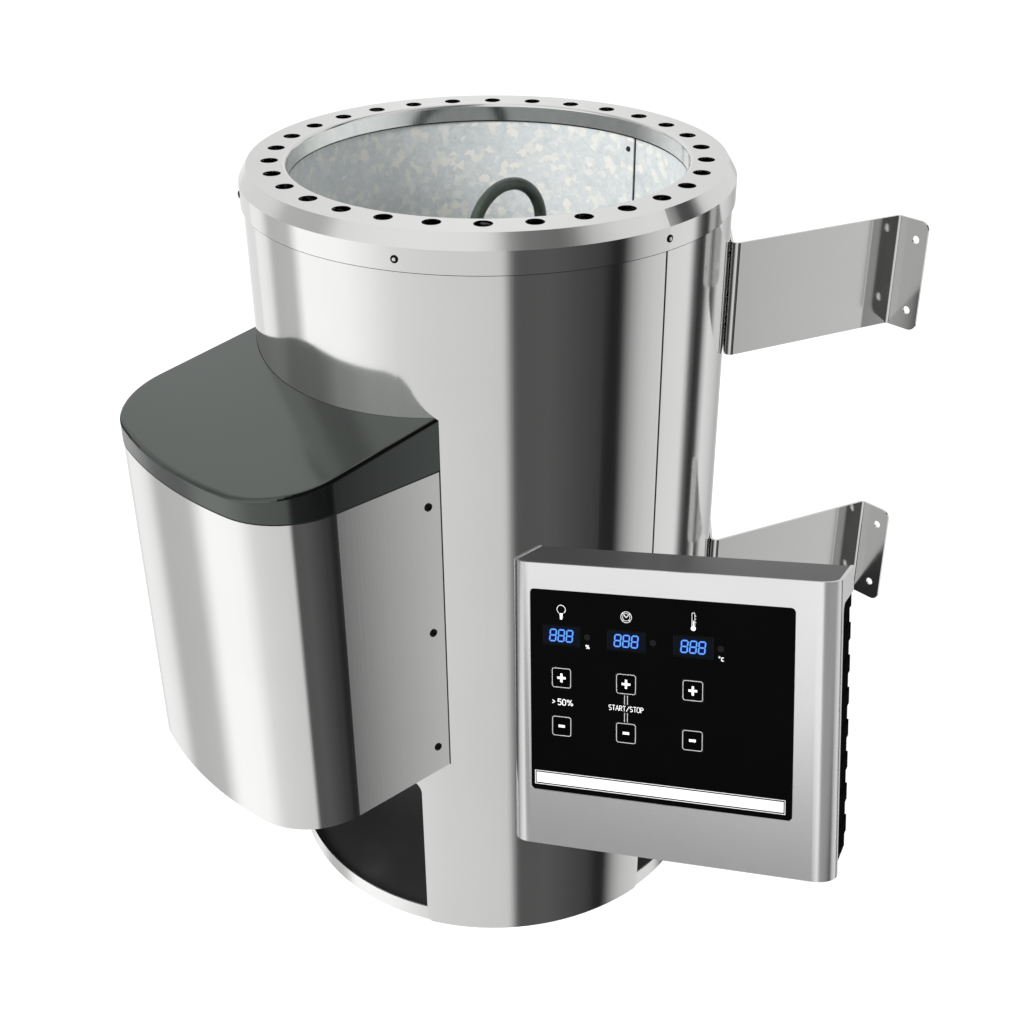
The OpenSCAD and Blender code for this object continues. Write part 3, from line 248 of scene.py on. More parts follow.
def steel(name, tone, rough, wear=0.05, bow=None, painted_shade=None):
    """Rolled stainless sheet with a fine upright grain and faint handling marks."""
    f = Finish(name)
    grain = f.noise(ROLLED, 4.0)
    cloud = f.noise(9.0)
    smear = f.noise(HANDLED, 2.0, 0.5)
    base = f.mix(cloud.step(0.3, 0.7) * 0.5 + grain * 0.5,
                 colour(tone * 0.95, tone * 0.95, tone * 0.94), colour(tone, tone, tone * 0.99))
    # Painted shade: where the given mask is high, the steel is made nearly black
    if painted_shade:
        base = f.mix(painted_shade(f), base, grey(0.02))
    return f.done(
        base_color=base, metallic=1.0,
        roughness=rough + (grain - 0.5) * 0.05 + (cloud - 0.5) * wear + (smear - 0.5) * wear,
        normal=f.bump(grain, 0.012, normal=f.bowed(bow(f)) if bow else None))


def side_bow(f):
    """The box's flat side is a little hollow: turned back in front, forward behind."""
    front_turn, turn_per_metre = -0.074, 0.36
    return f.along("X").step(*SIDE_X) * (
        (f.along("Y") - SIDE_FRONT) * turn_per_metre + front_turn)


def arm_bow(f):
    """The bracket's flat arm leans a little from its bends, less so near the wall."""
    arm_turn, strip_turn = 0.13, 0.03
    facing = f.facing("X")
    near_wall = f.along("Y").step(WALL_STRIP - MM, WALL_STRIP + MM)
    outward = (facing * f.along("X").sign()).step(0.8, 0.9)
    return (facing * facing).step(0.80, 0.93) * (
        arm_turn - near_wall * outward * (arm_turn - strip_turn))


def painted_flange_shade(f):
    """Painted shade: the bracket's wall flange is darker than its arm."""
    facing = f.facing("Y")
    return (facing * facing).step(0.96, 0.99) * 0.30


def painted_inner_shade(f):
    """Painted shade: the inner side of the casing is darkened."""
    return 1 - f.from_axis().step(*CASING_SKIN)


def round_front(f):
    """Normal of the box's outline on the hood: one long bow between two round corners."""
    x, y = f.along("X"), f.along("Y")
    in_corner = (abs(x) + (y - BOW_Y) * BOW_SLOPE).step(-0.05 * MM, 0.05 * MM)
    centre = f.node("ShaderNodeCombineXYZ", {
        "X": x.sign() * CORNER_X * in_corner, "Y": in_corner * (CORNER_Y - BOW_Y) + BOW_Y})
    spoke = f.vector("NORMALIZE", f.level(f.vector("SUBTRACT", f.place, centre)))
    rise = f.facing("Z")
    inward = f.vector("DOT_PRODUCT", f.normal(), spoke, out="Value")
    chosen = (1 - abs(rise).step(0.30, 0.45)) * (1 - y.step(CORNER_Y, CORNER_Y + 0.1 * MM))
    leaning = f.vector("ADD", spoke, f.node("ShaderNodeCombineXYZ", {"Z": rise}))
    return f.mix(chosen * inward.step(0.5, 0.7), f.normal(), leaning)


def painted_edge_reflection(f):
    """Painted dark reflection on the hood's rounded top edge: black at the right, a thin dark line at the front
    left.
    """
    x, y, z = (f.facing(axis) for axis in "XYZ")
    lowest = z.step(0.16, 0.26)
    right = (x + y).step(-0.05, 0.12) * (1 - z.step(0.80, 0.90))
    left = (x * -1).step(0.03, 0.15) * (y * -1).step(0.10, 0.30) * (1 - z.step(0.62, 0.78))
    return lowest * (right + left * 0.9)


def lacquer(name):
    """Dark grey-green glossy hood: what shows on it is mostly the studio round it."""
    f = Finish(name)
    peel = f.noise(420.0, 2.0, 0.5)
    cloud = f.noise(12.0)
    base = f.mix(cloud, colour(0.0025, 0.0035, 0.0028), colour(0.0040, 0.0055, 0.0045))
    # The hood's rounded top edge gets a painted dark reflection, mixed in as unlit
    return f.done(base_color=base, roughness=0.16 + (cloud - 0.5) * 0.05 + (peel - 0.5) * 0.03,
                  ior=2.0, specular_tint=colour(0.90, 1.0, 0.93),
                  normal=f.bump(peel, 0.008, normal=f.bowed(side_bow(f), round_front(f))),
                  unlit=painted_edge_reflection(f))


def zinc_spangle(name):
    """Hot-dip zinc: leafy crystals, each with its own grey, and pale yellowish flakes."""
    f = Finish(name)
    warp = f.noise(75.0)
    drift = f.noise(9.0, 2.0, 0.5)
    shift = 6 * MM
    shifted = f.vector("MULTIPLY_ADD", f.noise(210.0, 2.0, 0.5, out="Color"),
                       (shift, shift, shift), f.place)
    leaf, small = (
        f.node("ShaderNodeTexVoronoi", {"Vector": shifted, "Scale": scale, "Smoothness": 0.30},
               out="Color", feature="SMOOTH_F1") for scale in (200.0, 460.0))
    tone = f.node("ShaderNodeSeparateColor", {"Color": leaf}, out="Red")
    tint = f.node("ShaderNodeSeparateColor", {"Color": leaf}, out="Green")
    fleck = f.node("ShaderNodeSeparateColor", {"Color": small}, out="Red")
    value = tone * 0.22 + fleck * 0.32 + warp * 0.60 + drift * 0.55 - 0.46
    base = f.mix(value, colour(0.65, 0.69, 0.705), colour(0.94, 0.95, 0.935))
    base = f.mix(tone.step(0.66, 0.82) * (tint * 0.55 + 0.30), base, colour(0.97, 0.955, 0.885))
    # Painted shade: the drum's outer side, in the air gap, is made dark
    base = f.mix(f.from_axis().step(*DRUM_SKIN), base, grey(0.03))
    return f.done(base_color=base, metallic=0.25, roughness=0.42 + value * 0.15,
                  normal=f.bump(value, 0.04, 0.4))


def tube_oxide(name):
    """Heating tube with a dark green-grey annealed skin."""
    f = Finish(name)
    patch = f.noise(45.0, 4.0)
    fine = f.noise(700.0, 2.0, 0.5)
    base = f.mix(patch.step(0.3, 0.75), colour(0.050, 0.062, 0.053), colour(0.066, 0.080, 0.069))
    return f.done(base_color=base, metallic=0.35, roughness=0.25 + (fine - 0.5) * 0.06,
                  normal=f.bump(fine, 0.004, 0.3))


def moulded(name, dark, light, rough, grain=900.0, spec=0.5, dust=0.0):
    """Moulded plastic or stoving paint with a fine even texture."""
    f = Finish(name)
    fine = f.noise(grain, 2.0, 0.5)
    cloud = f.noise(14.0)
    base = f.mix(cloud, dark, light)
    if dust:
        base = f.mix(cloud.step(0.45, 0.75) * dust, base, grey(0.35))
    return f.done(base_color=base, roughness=rough + (fine - 0.5) * 0.12 + (cloud - 0.5) * 0.05,
                  normal=f.bump(fine, 0.04), specular_ior_level=spec)


def plated(name, tone, rough):
    """Bright plated screw or nut, slightly uneven."""
    f = Finish(name)
    cloud = f.noise(260.0)
    return f.done(base_color=f.mix(cloud, tone, shade(tone, 1.15)), metallic=1.0,
                  roughness=rough + (cloud - 0.5) * 0.12)


def silver_cover(name):
    """Satin silver cover of the control unit, with a very fine blasted grain."""
    f = Finish(name)
    fine = f.noise(1500.0, 2.0, 0.5)
    cloud = f.noise(18.0, rough=0.5)
    base = f.mix(cloud, grey(0.80), grey(0.86))
    # Painted shade: the rounded long edge on the lamp keys' side is made darker
    shaded_edge_facing = f.vector("DOT_PRODUCT", f.normal(), tuple(RIGHT), out="Value")
    base = f.mix((1 - shaded_edge_facing.step(-0.5, -0.15)) * 0.40, base, grey(0.10))
    return f.done(base_color=base, metallic=0.97, roughness=0.21 + (fine - 0.5) * 0.08,
                  normal=f.bump(fine, 0.01))


def glossy_panel(name, tone=0.0018):
    """Black glossy panel with faint haze."""
    f = Finish(name)
    haze = f.noise(30.0)
    return f.done(base_color=f.mix(haze, grey(tone * 0.8), grey(tone * 1.3)),
                  roughness=0.16 + (haze - 0.5) * 0.06, specular_ior_level=0.01)


def ink(name, tone, rough=0.45, spec=0.5):
    """Printed ink, not quite even."""
    f = Finish(name)
    film = f.noise(900.0, 2.0, 0.5)
    return f.done(base_color=f.mix(film, shade(tone, 0.88), tone), roughness=rough,
                  specular_ior_level=spec)


def glow(name, tone, strength=1.0):
    """Lit segment of a display, a little uneven as behind a tinted window."""
    f = Finish(name)
    film = f.noise(1600.0, 2.0, 0.5)
    return f.done(base_color=grey(0.002), roughness=0.3, specular_ior_level=0.03,
                  emission_color=f.mix(film, shade(tone, 0.8), tone),
                  emission_strength=strength)


# Each slot of the record: how its finish is made, and from what
FINISHES = {name: make(name, **values) for name, make, values in (
    ("ring_steel", steel, dict(tone=0.88, rough=0.105, wear=0.03)),
    ("casing_steel", steel, dict(tone=0.86, rough=0.085, wear=0.03, painted_shade=painted_inner_shade)),
    ("cover_steel", steel, dict(tone=0.88, rough=0.10, wear=0.03, bow=side_bow)),
    ("bracket_steel", steel, dict(tone=0.84, rough=0.11, bow=arm_bow, painted_shade=painted_flange_shade)),
    ("base_steel", steel, dict(tone=0.90, rough=0.16)),
    ("grate_steel", steel, dict(tone=0.45, rough=0.42)),
    ("inner_steel", steel, dict(tone=0.60, rough=0.35)),
    ("galvanised", zinc_spangle, {}),
    ("base_black", moulded, dict(dark=grey(0.022), light=grey(0.032), rough=0.34, dust=0.05)),
    ("rivet_black", moulded, dict(dark=grey(0.01), light=grey(0.02), rough=0.4)),
    ("tube_metal", tube_oxide, {}),
    ("hood_plastic", lacquer, {}),
    ("porcelain", moulded, dict(
        dark=colour(0.80, 0.78, 0.70), light=colour(0.86, 0.84, 0.77), rough=0.22)),
    ("brass", plated, dict(tone=colour(0.70, 0.52, 0.22), rough=0.28)),
    ("copper", plated, dict(tone=colour(0.72, 0.36, 0.20), rough=0.30)),
    ("bright_screw", plated, dict(tone=colour(0.70, 0.70, 0.68), rough=0.25)),
    ("dark_screw", plated, dict(tone=grey(0.012), rough=0.30)),
    ("black_plastic", moulded, dict(dark=grey(0.010), light=grey(0.016), rough=0.45)),
    ("red_plastic", moulded, dict(
        dark=colour(0.45, 0.02, 0.015), light=colour(0.52, 0.03, 0.02), rough=0.3)),
    ("console_paint", moulded, dict(
        dark=grey(0.075), light=grey(0.095), rough=0.48, grain=1400.0)),
    ("silver_cover", silver_cover, {}),
    ("top_plate_grey", moulded, dict(dark=grey(0.023), light=grey(0.029), rough=0.38)),
    ("unit_black", moulded, dict(dark=grey(0.005), light=grey(0.009), rough=0.50, spec=0.0)),
    ("panel_black", glossy_panel, {}),
    ("display_glass", glossy_panel, {}),
    ("board_green", moulded, dict(
        dark=colour(0.01, 0.08, 0.03), light=colour(0.02, 0.11, 0.04), rough=0.3)),
    ("switch_metal", plated, dict(tone=colour(0.65, 0.65, 0.63), rough=0.3)),
    ("key_black", glossy_panel, dict(tone=0.0012)),
)}
UNIT_PIECES = ("unit_", "display_", "console_", "key_", "circuit_", "board_")

for part in frame["record"]["subparts"]:
    piece = NODES[part["node"]]
    if not piece.data.materials:
        piece.data.materials.append(None)
    for slot_number in range(len(piece.data.materials)):
        piece.data.materials[slot_number] = FINISHES[part["material_slot"]]
    # The steel shows the studio round it, not the control unit in front of it
    if part["node"].startswith(UNIT_PIECES):
        piece.visible_glossy = False

# ---- Print on the control panel, in millimetres ----


def span(node, axis):
    """Lowest and highest place of a node along an axis, in metres."""
    places = [v.co.dot(axis) for v in NODES[node].data.vertices]
    return min(places), max(places)


def middle(node, axis):
    """Place of a node's middle along an axis, in metres."""
    low, high = span(node, axis)
    return (low + high) / 2


FACE = span("unit_panel", OUT)[1]
KEYS = {name: (middle(name, RIGHT), middle(name, UP)) for name in NODES
        if name.startswith("key_") and name != "key_switches"}
COLUMNS = [KEYS[name][0] for name in ("key_lamp_plus", "key_timer_plus", "key_heat_plus")]
DISPLAY_UP = middle("display_windows", UP)
BETWEEN_KEYS = (KEYS["key_lamp_plus"][1] + KEYS["key_lamp_minus"][1]) / 2


def arc(x, y, radius, start, end, steps=12):
    """Points on an arc; the angles are in degrees."""
    turns = [math.radians(start + (end - start) * k / steps) for k in range(steps + 1)]
    return [(x + radius * math.cos(turn), y + radius * math.sin(turn)) for turn in turns]


def bar(left, low, right, high):
    """Outline of an upright rectangle."""
    return [(left, low), (right, low), (right, high), (left, high)]


def rounded(width, height, radius):
    """Closed outline of a rounded rectangle about the origin."""
    x, y = width / 2 - radius, height / 2 - radius
    return (arc(x, y, radius, 0, 90, 5) + arc(-x, y, radius, 90, 180, 5)
            + arc(-x, -y, radius, 180, 270, 5) + arc(x, -y, radius, 270, 360, 5))[:-1]


def ribbon(points, width, closed=False):
    """Line of a given width along the points, as four-sided patches with mitred corners."""
    n = len(points)
    left, right = [], []
    for k in range(n):
        before = points[k - 1] if k or closed else points[k]
        after = points[(k + 1) % n] if k < n - 1 or closed else points[k]
        here = Vector(points[k])
        a = here - Vector(before)
        b = Vector(after) - here
        a = a.normalized() if a.length > 1e-9 else b.normalized()
        b = b.normalized() if b.length > 1e-9 else a
        normal = Vector((-(a.y + b.y), a.x + b.x)).normalized()
        reach = width / 2 / max(0.5, normal.dot(Vector((-a.y, a.x))))
        left.append(here + normal * reach)
        right.append(here - normal * reach)
    last = n if closed else n - 1
    return [[left[k], right[k], right[(k + 1) % n], left[(k + 1) % n]] for k in range(last)]


def ring(x, y, radius, width):
    """Round line about a point."""
    return ribbon(arc(x, y, radius, 0, 360, 14)[:-1], width, closed=True)


def put_piece(name, verts, faces, body, finish, smooth=False):
    """New piece that rides on a body and takes the finish it is given."""
    mesh = bpy.data.meshes.new(name)
    mesh.from_pydata([tuple(v) for v in verts], [], faces)
    mesh.materials.append(finish)
    for face in mesh.polygons:
        face.use_smooth = smooth
    piece = bpy.data.objects.new(name, mesh)
    bpy.context.scene.collection.objects.link(piece)
    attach(piece, body)
    return piece


def printed(name, shapes, centre, body, finish, base=0.02, film=0.06):
    """Thin printed film: flat shapes about a centre on the panel's face."""
    verts, faces = [], []
    for shape in shapes:
        start, n = len(verts), len(shape)
        for lift in (base, base + film):
            verts += [RIGHT * (centre[0] + x * MM) + UP * (centre[1] + y * MM)
                      + OUT * (FACE + lift * MM) for x, y in shape]
        area = sum(shape[k - 1][0] * shape[k][1] - shape[k][0] * shape[k - 1][1]
                   for k in range(n))
        order = list(range(n)) if area > 0 else list(range(n))[::-1]
        faces.append([start + n + k for k in order])
        faces.append([start + k for k in reversed(order)])
        for k in range(n):
            a, b = order[k - 1], order[k]
            faces.append([start + a, start + b, start + n + b, start + n + a])
    put_piece(name, verts, faces, body, finish).visible_glossy = False


WHITE = ink("white_print", grey(0.97))
DOT = ink("dark_dot", grey(0.010), 0.35, 0.03)
LINE = ink("grey_line", grey(0.46))
BLUE = glow("digit_blue", colour(0.16, 0.46, 1.0), 1.15)
HALO = glow("digit_halo", colour(0.0, 0.012, 0.40))
# The display windows' dark blue is a faint painted glow, not a lamp
WINDOW_GLOW = glow("window_glow", colour(0.002, 0.0045, 0.009))


def marking(name, shapes, column, up=DISPLAY_UP, finish=WHITE):
    """Print on the panel itself, about a point given along and up its face."""
    printed(name, shapes, (column, up), "stove", finish)


# Signs of the keys, with the half width and the reach of their bars
HALF, ARM, POST = 0.68, 2.5, 2.6
PLUS = [[(-ARM, -HALF), (-HALF, -HALF), (HALF, -HALF), (ARM, -HALF),
         (ARM, HALF), (HALF, HALF), (-HALF, HALF), (-ARM, HALF)],
        bar(-HALF, HALF, HALF, POST), bar(-HALF, -POST, HALF, -HALF)]
MINUS = [bar(-1.9, -0.75, 1.9, 0.75)]
KEY_FRAME = ribbon(rounded(11.0, 11.0, 1.3), 0.42, closed=True)

for name, place in KEYS.items():
    printed(name + "_frame", KEY_FRAME, place, name, LINE)
    printed(name + "_sign", PLUS if name.endswith("plus") else MINUS, place, name,
            WHITE)


def segments(grow):
    """The seven segments of one figure eight, leaning a little, as bars with pointed ends."""
    w, h, stroke, gap, lean = 3.5, 6.6, 0.72 + grow, 0.1, 0.09
    bars = [((-w / 2, y), (w / 2, y)) for y in (-h / 2, 0.0, h / 2)]
    bars += [((x, y0), (x, y0 + h / 2)) for x in (-w / 2, w / 2) for y0 in (-h / 2, 0.0)]
    shapes = []
    for start, end in bars:
        along = (Vector(end) - Vector(start)).normalized()
        side = Vector((-along.y, along.x)) * stroke / 2
        a = Vector(start) + along * gap
        b = Vector(end) - along * gap
        tip = along * (stroke / 2)
        shapes.append([a, a + tip - side, b - tip - side, b, b - tip + side, a + tip + side])
    return [[(p[0] + lean * p[1], p[1]) for p in shape] for shape in shapes]


def moved(shapes, dx, dy, scale=1.0):
    """Copy of the shapes, scaled and then moved."""
    return [[(p[0] * scale + dx, p[1] * scale + dy) for p in shape] for shape in shapes]


def figures(grow):
    """Three figures eight side by side."""
    pitch = 4.9
    return [shape for k in (-1, 0, 1) for shape in moved(segments(grow), k * pitch, 0.0)]


for number, column in enumerate(COLUMNS):
    for name, shapes, finish, base, film in (
            ("window_glow", [rounded(21.6, 10.9, 0.4)], WINDOW_GLOW, 0.01, 0.02),
            ("digit_halo", figures(1.0), HALO, 0.04, 0.02),
            ("digits", figures(0.0), BLUE, 0.07, 0.03)):
        printed("%s_%d" % (name, number), shapes, (column, DISPLAY_UP), "stove",
                finish, base, film)
    marking("lamp_dot_%d" % number, [arc(15.3, 0.3, 1.8, 0, 360, 24)[:-1]], column, finish=DOT)

LAMP_ICON = (ribbon(arc(0.0, 15.0, 2.5, -55, 235, 20), 0.3)
             + [[(-1.0, 12.9), (1.0, 12.9), (0.6, 9.3), (-0.6, 9.3)]])
CLOCK_ICON = ring(0.0, 13.6, 3.1, 0.28) + ring(0.0, 13.6, 2.1, 0.2)
for stroke in ([(-1.2, 14.7), (0.0, 13.4), (1.2, 14.7)], [(-1.6, 12.1), (-2.3, 11.2)],
               [(1.6, 12.1), (2.3, 11.2)], [(-1.6, 15.1), (-2.3, 16.0)],
               [(1.6, 15.1), (2.3, 16.0)]):
    CLOCK_ICON += ribbon(stroke, 0.35)
THERMOMETER_ICON = (ribbon(arc(0.0, 18.3, 0.8, 0, 180, 8) + [(-0.8, 11.6)], 0.25)
                    + ribbon([(0.8, 18.3), (0.8, 11.6)], 0.25)
                    + [arc(0.0, 10.4, 1.4, 0, 360, 20)[:-1], bar(-0.3, 11.7, 0.3, 14.6)])
for mark_up in (17.4, 15.6, 13.8):
    THERMOMETER_ICON += ribbon([(0.8, mark_up), (1.6, mark_up)], 0.2)
for name, icon, column in zip(("lamp_icon", "clock_icon", "thermometer_icon"),
                              (LAMP_ICON, CLOCK_ICON, THERMOMETER_ICON), COLUMNS):
    marking(name, icon, column)

# Middle lines of the signs, on capitals 3.4 high
TOP = 1.7
BOWL = [(-0.8, -TOP), (-0.8, TOP)] + arc(0.0, 0.85, 0.85, 90, -90, 8) + [(-0.8, 0.0)]
GLYPHS = {
    ">": [[(-0.7, 1.1), (0.9, 0.0), (-0.7, -1.1)]],
    "5": [[(1.0, TOP), (-0.8, TOP), (-0.9, 0.3)] + arc(-0.1, -0.6, 1.1, 110, -140, 10)],
    "0": [arc(0.0, 0.75, 0.95, 0, 180, 8) + arc(0.0, -0.75, 0.95, 180, 360, 8)
          + [(0.95, 0.75)]],
    "/": [[(1.0, TOP), (-1.0, -TOP)]],
    "C": [arc(0.0, 0.45, 1.05, 40, 180, 7) + arc(0.0, -0.45, 1.05, 180, 320, 7)],
    "S": [arc(0.0, 0.85, 0.85, 30, 270, 10) + arc(0.0, -0.85, 0.85, 90, -150, 10)[1:]],
    "T": [[(-0.95, TOP), (0.95, TOP)], [(0.0, TOP), (0.0, -TOP)]],
    "A": [[(-1.0, -TOP), (0.0, TOP), (1.0, -TOP)], [(-0.6, -0.5), (0.6, -0.5)]],
    "R": [BOWL, [(0.0, 0.0), (0.9, -TOP)]],
    "O": [arc(0.0, 0.7, 1.0, 0, 180, 8) + arc(0.0, -0.7, 1.0, 180, 360, 8) + [(1.0, 0.7)]],
    "P": [BOWL],
}


def glyph(sign, x, y, scale=1.0, width=0.5):
    """One sign about a point, with strokes of a given width before it is scaled."""
    if sign == "%":
        shapes = (ribbon([(0.9, TOP), (-0.9, -TOP)], width) + ring(-1.1, 0.95, 0.6, width * 0.8)
                  + ring(1.1, -0.95, 0.6, width * 0.8))
    elif sign == "o":
        shapes = ring(0.0, 1.2, 0.5, width * 0.8)
    else:
        shapes = [patch for path in GLYPHS[sign] for patch in ribbon(path, width)]
    return moved(shapes, x, y, scale)


marking("percent_mark", glyph("%", 15.6, -5.2, 0.62, 0.75), COLUMNS[0])
marking("degree_mark", glyph("o", 14.6, -5.2, 0.7, 0.6) + glyph("C", 16.4, -5.4, 0.62, 0.75),
        COLUMNS[2])
marking("half_mark", glyph(">", -4.9, 0.0, 0.9) + glyph("5", -1.2, 0.0) + glyph("0", 1.5, 0.0)
        + glyph("%", 5.0, 0.0), COLUMNS[0], BETWEEN_KEYS)
marking("start_stop_mark",
        sum((glyph(sign, (k - 4.5) * 2.05, 0.0, 0.84, 0.44)
             for k, sign in enumerate("START/STOP")), []), COLUMNS[1], BETWEEN_KEYS)
marking("join_lines", [bar(x - 0.22, y, x + 0.22, y + 5.3)
                       for x in (-0.85, 0.85) for y in (-7.7, 2.4)],
        COLUMNS[1], BETWEEN_KEYS, LINE)
# The bar's middle, from the panel's lower left corner
marking("white_bar", [bar(-71.0, -3.0, 71.0, 3.0)]
        + ribbon(bar(-71.8, -3.9, 71.8, 3.9), 0.3, closed=True),
        span("unit_panel", RIGHT)[0] + 75.4 * MM, span("unit_panel", UP)[0] + 8.4 * MM)

# ---- Painted shadow lines in the joints of the casing, in millimetres ----

PAINTED_SHADOW = ink("painted_shadow_black", grey(0.006), 0.6)


# Each line is a painted shadow: a black strip where there is only shade
def put_shadow_line(name, verts, faces):
    put_piece(name, verts, faces, "stove", PAINTED_SHADOW)


def shadow_ring(name, inner, outer, low, high, start=0.0, end=360.0, steps=160):
    """Thin ring, or part of one, about the stove's axis: a painted shadow line."""
    whole = end - start >= 360.0
    n = steps if whole else steps + 1
    verts, faces = [], []
    for k in range(n):
        a = math.radians(start + (end - start) * k / steps)
        for radius, level in ((inner, low), (outer, low), (outer, high), (inner, high)):
            verts.append((radius * MM * math.cos(a), radius * MM * math.sin(a), level * MM))
    for k in range(n if whole else n - 1):
        a, b = 4 * k, 4 * ((k + 1) % n)
        for c in range(4):
            d = (c + 1) % 4
            faces.append((a + c, b + c, b + d, a + d))
    if not whole:
        faces += [(0, 1, 2, 3), (4 * n - 1, 4 * n - 2, 4 * n - 3, 4 * n - 4)]
    put_shadow_line(name, verts, faces)


def reach(node):
    """Smallest and largest distance from the axis, and the lowest point."""
    points = [v.co for v in NODES[node].data.vertices]
    radii = [math.hypot(p.x, p.y) / MM for p in points]
    return min(radii), max(radii), min(p.z for p in points) / MM


RING_IN, RING_OUT, SKIRT_LOW = reach("top_ring")
SHELL_OUT, SHELL_LOW = reach("outer_shell_back")[1:]
DRUM_LOW = reach("inner_drum")[2]
LIP_LOW = min(v.co.z for v in NODES["top_ring"].data.vertices
              if math.hypot(v.co.x, v.co.y) / MM < RING_IN + 0.3) / MM
# Clearance to the sheet that a painted shadow line lies on, how far a line stands out from the casing beside the
# box and over the seams, and the half width of a seam's shadow line in degrees
ON_SHEET, BOX_LINE, SEAM_LINE, SEAM_HALF = 0.02, 0.3, 0.10, 0.23

# Painted shadow under the ring's skirt and under its lip
shadow_ring("skirt_shadow_line", SHELL_OUT + 0.03, RING_OUT - 0.3, SKIRT_LOW - 0.45, SKIRT_LOW - ON_SHEET)
shadow_ring("lip_shadow_line", RING_IN + 0.05, RING_IN + 1.1, LIP_LOW - 0.85, LIP_LOW - ON_SHEET)
# Painted shadow along the end of the drum's lap, above the grate
shadow_ring("drum_seam_shadow", 127.75, 128.15, DRUM_LOW + 18, LIP_LOW - 0.6, 86.95, 87.4, 2)
# Painted shadow in the gaps of the casing's two seams
for name, seam_at in (("shell_seam_shadow_right", 0), ("shell_seam_shadow_left", 180)):
    shadow_ring(name, SHELL_OUT + ON_SHEET, SHELL_OUT + SEAM_LINE, SHELL_LOW + 0.5, SKIRT_LOW - 0.6,
         seam_at - SEAM_HALF, seam_at + SEAM_HALF, 2)


def box_outline(grow):
    """Sides and front of the terminal box, from the casing round to its other side."""
    grow *= MM
    side = CORNER_X + CORNER_R + grow
    meet = -math.sqrt((SHELL_OUT * MM) ** 2 - side ** 2)
    turn = math.degrees(math.atan2(BOW_Y - CORNER_Y, CORNER_X))
    points = [(side, meet), (side, (meet + CORNER_Y) / 2)]
    points += arc(CORNER_X, CORNER_Y, CORNER_R + grow, 0, -turn, 14)
    points += arc(0.0, BOW_Y, BOW_R + grow, -turn, turn - 180, 20)[1:-1]
    points += arc(-CORNER_X, CORNER_Y, CORNER_R + grow, turn - 180, -180, 14)
    return points + [(-side, (meet + CORNER_Y) / 2), (-side, meet)]


# Painted shadow under the hood's edge, on the cover: four long faces and two ends
inner, outer = box_outline(0.03), box_outline(BOX_LINE)
SHADOW_LINE_HEIGHT = 1.0
verts = [(x, y, BOX_HIGH[2] - drop * MM) for drop in (0.0, SHADOW_LINE_HEIGHT)
         for line in (inner, outer) for x, y in line]
n = len(inner)
faces = [(a * n + k, a * n + k + 1, b * n + k + 1, b * n + k)
         for k in range(n - 1) for a, b in ((0, 1), (1, 3), (3, 2), (2, 0))]
faces += [(0, n, 3 * n, 2 * n), (n - 1, 3 * n - 1, 4 * n - 1, 2 * n - 1)]
put_shadow_line("hood_shadow_line", verts, faces)

# Painted shadow lines where the box's two sides meet the casing, each line 0.2 degrees wide
LINE_TURN = 0.2
side_turn = 90 - math.degrees(math.acos((CORNER_X + CORNER_R) / MM / SHELL_OUT))
for name, start in (("box_shadow_line_left", -90 - side_turn - LINE_TURN),
                    ("box_shadow_line_right", -90 + side_turn)):
    shadow_ring(name, SHELL_OUT + ON_SHEET, SHELL_OUT + BOX_LINE, BOX_LOW[2] / MM,
         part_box("box_hood")[1][2] / MM - 1.0, start, start + LINE_TURN, 2)

# ---- Bright middles of the ring's six fasteners ----

# Radius of each ring of points and its height above the fastener's head, in millimetres
DOME = ((1.25, 0.0), (1.05, 0.18), (0.6, 0.30))
POINTS_ROUND = 16
verts, faces = [], []
for fastener in range(6):
    a = math.radians(-60 + 60 * fastener)
    out = Vector((math.cos(a), math.sin(a), 0.0))
    side = Vector((-math.sin(a), math.cos(a), 0.0))
    # Of all six, the points within 10 mm of this fastener's line outwards
    near = [v.co for v in NODES["ring_screws"].data.vertices
            if abs(v.co.dot(side)) < 10 * MM and v.co.dot(out) > 100 * MM]
    head = max(p.dot(out) for p in near)
    level = (max(p.z for p in near) + min(p.z for p in near)) / 2
    first = len(verts)
    for radius, lift in DOME:
        verts += [out * (head + (ON_SHEET + lift) * MM) + side * (x * MM)
                  + Vector((0, 0, level + y * MM))
                  for x, y in arc(0.0, 0.0, radius, 0, 360, POINTS_ROUND)[:-1]]
    for row in (first, first + POINTS_ROUND):
        for k in range(POINTS_ROUND):
            p, q = row + k, row + (k + 1) % POINTS_ROUND
            faces.append((p, q, q + POINTS_ROUND, p + POINTS_ROUND))
    faces.append(tuple(first + 2 * POINTS_ROUND + k for k in range(POINTS_ROUND)))
    faces.append(tuple(first + POINTS_ROUND - 1 - k for k in range(POINTS_ROUND)))
put_piece("ring_screw_middles", verts, faces, "stove",
          plated("rivet_mandrel", colour(0.80, 0.80, 0.78), 0.22), smooth=True)

# ---- Camera: its place and axes as solved from the photograph's edges ----

EYE = (0.66737, -0.57076, 0.76253)
CAMERA_RIGHT = (0.67432, 0.73844, 0.0)
CAMERA_UP = (-0.35440, 0.32366, 0.87729)
CAMERA_BACK = (0.64784, -0.59156, 0.47995)
camera_data = bpy.data.cameras.new("camera")
camera_data.sensor_width = 36.0
camera_data.lens = 49.44
camera_data.shift_x = -0.0211
camera_data.shift_y = -0.0362
camera_data.clip_end = 50.0
camera = bpy.data.objects.new("camera", camera_data)
camera.matrix_world = Matrix([*zip(CAMERA_RIGHT, CAMERA_UP, CAMERA_BACK, EYE),
                              (0.0, 0.0, 0.0, 1.0)])
bpy.context.scene.collection.objects.link(camera)
bpy.context.scene.camera = camera

# ---- Floor: white to the camera, with the stove's shadow left in it ----

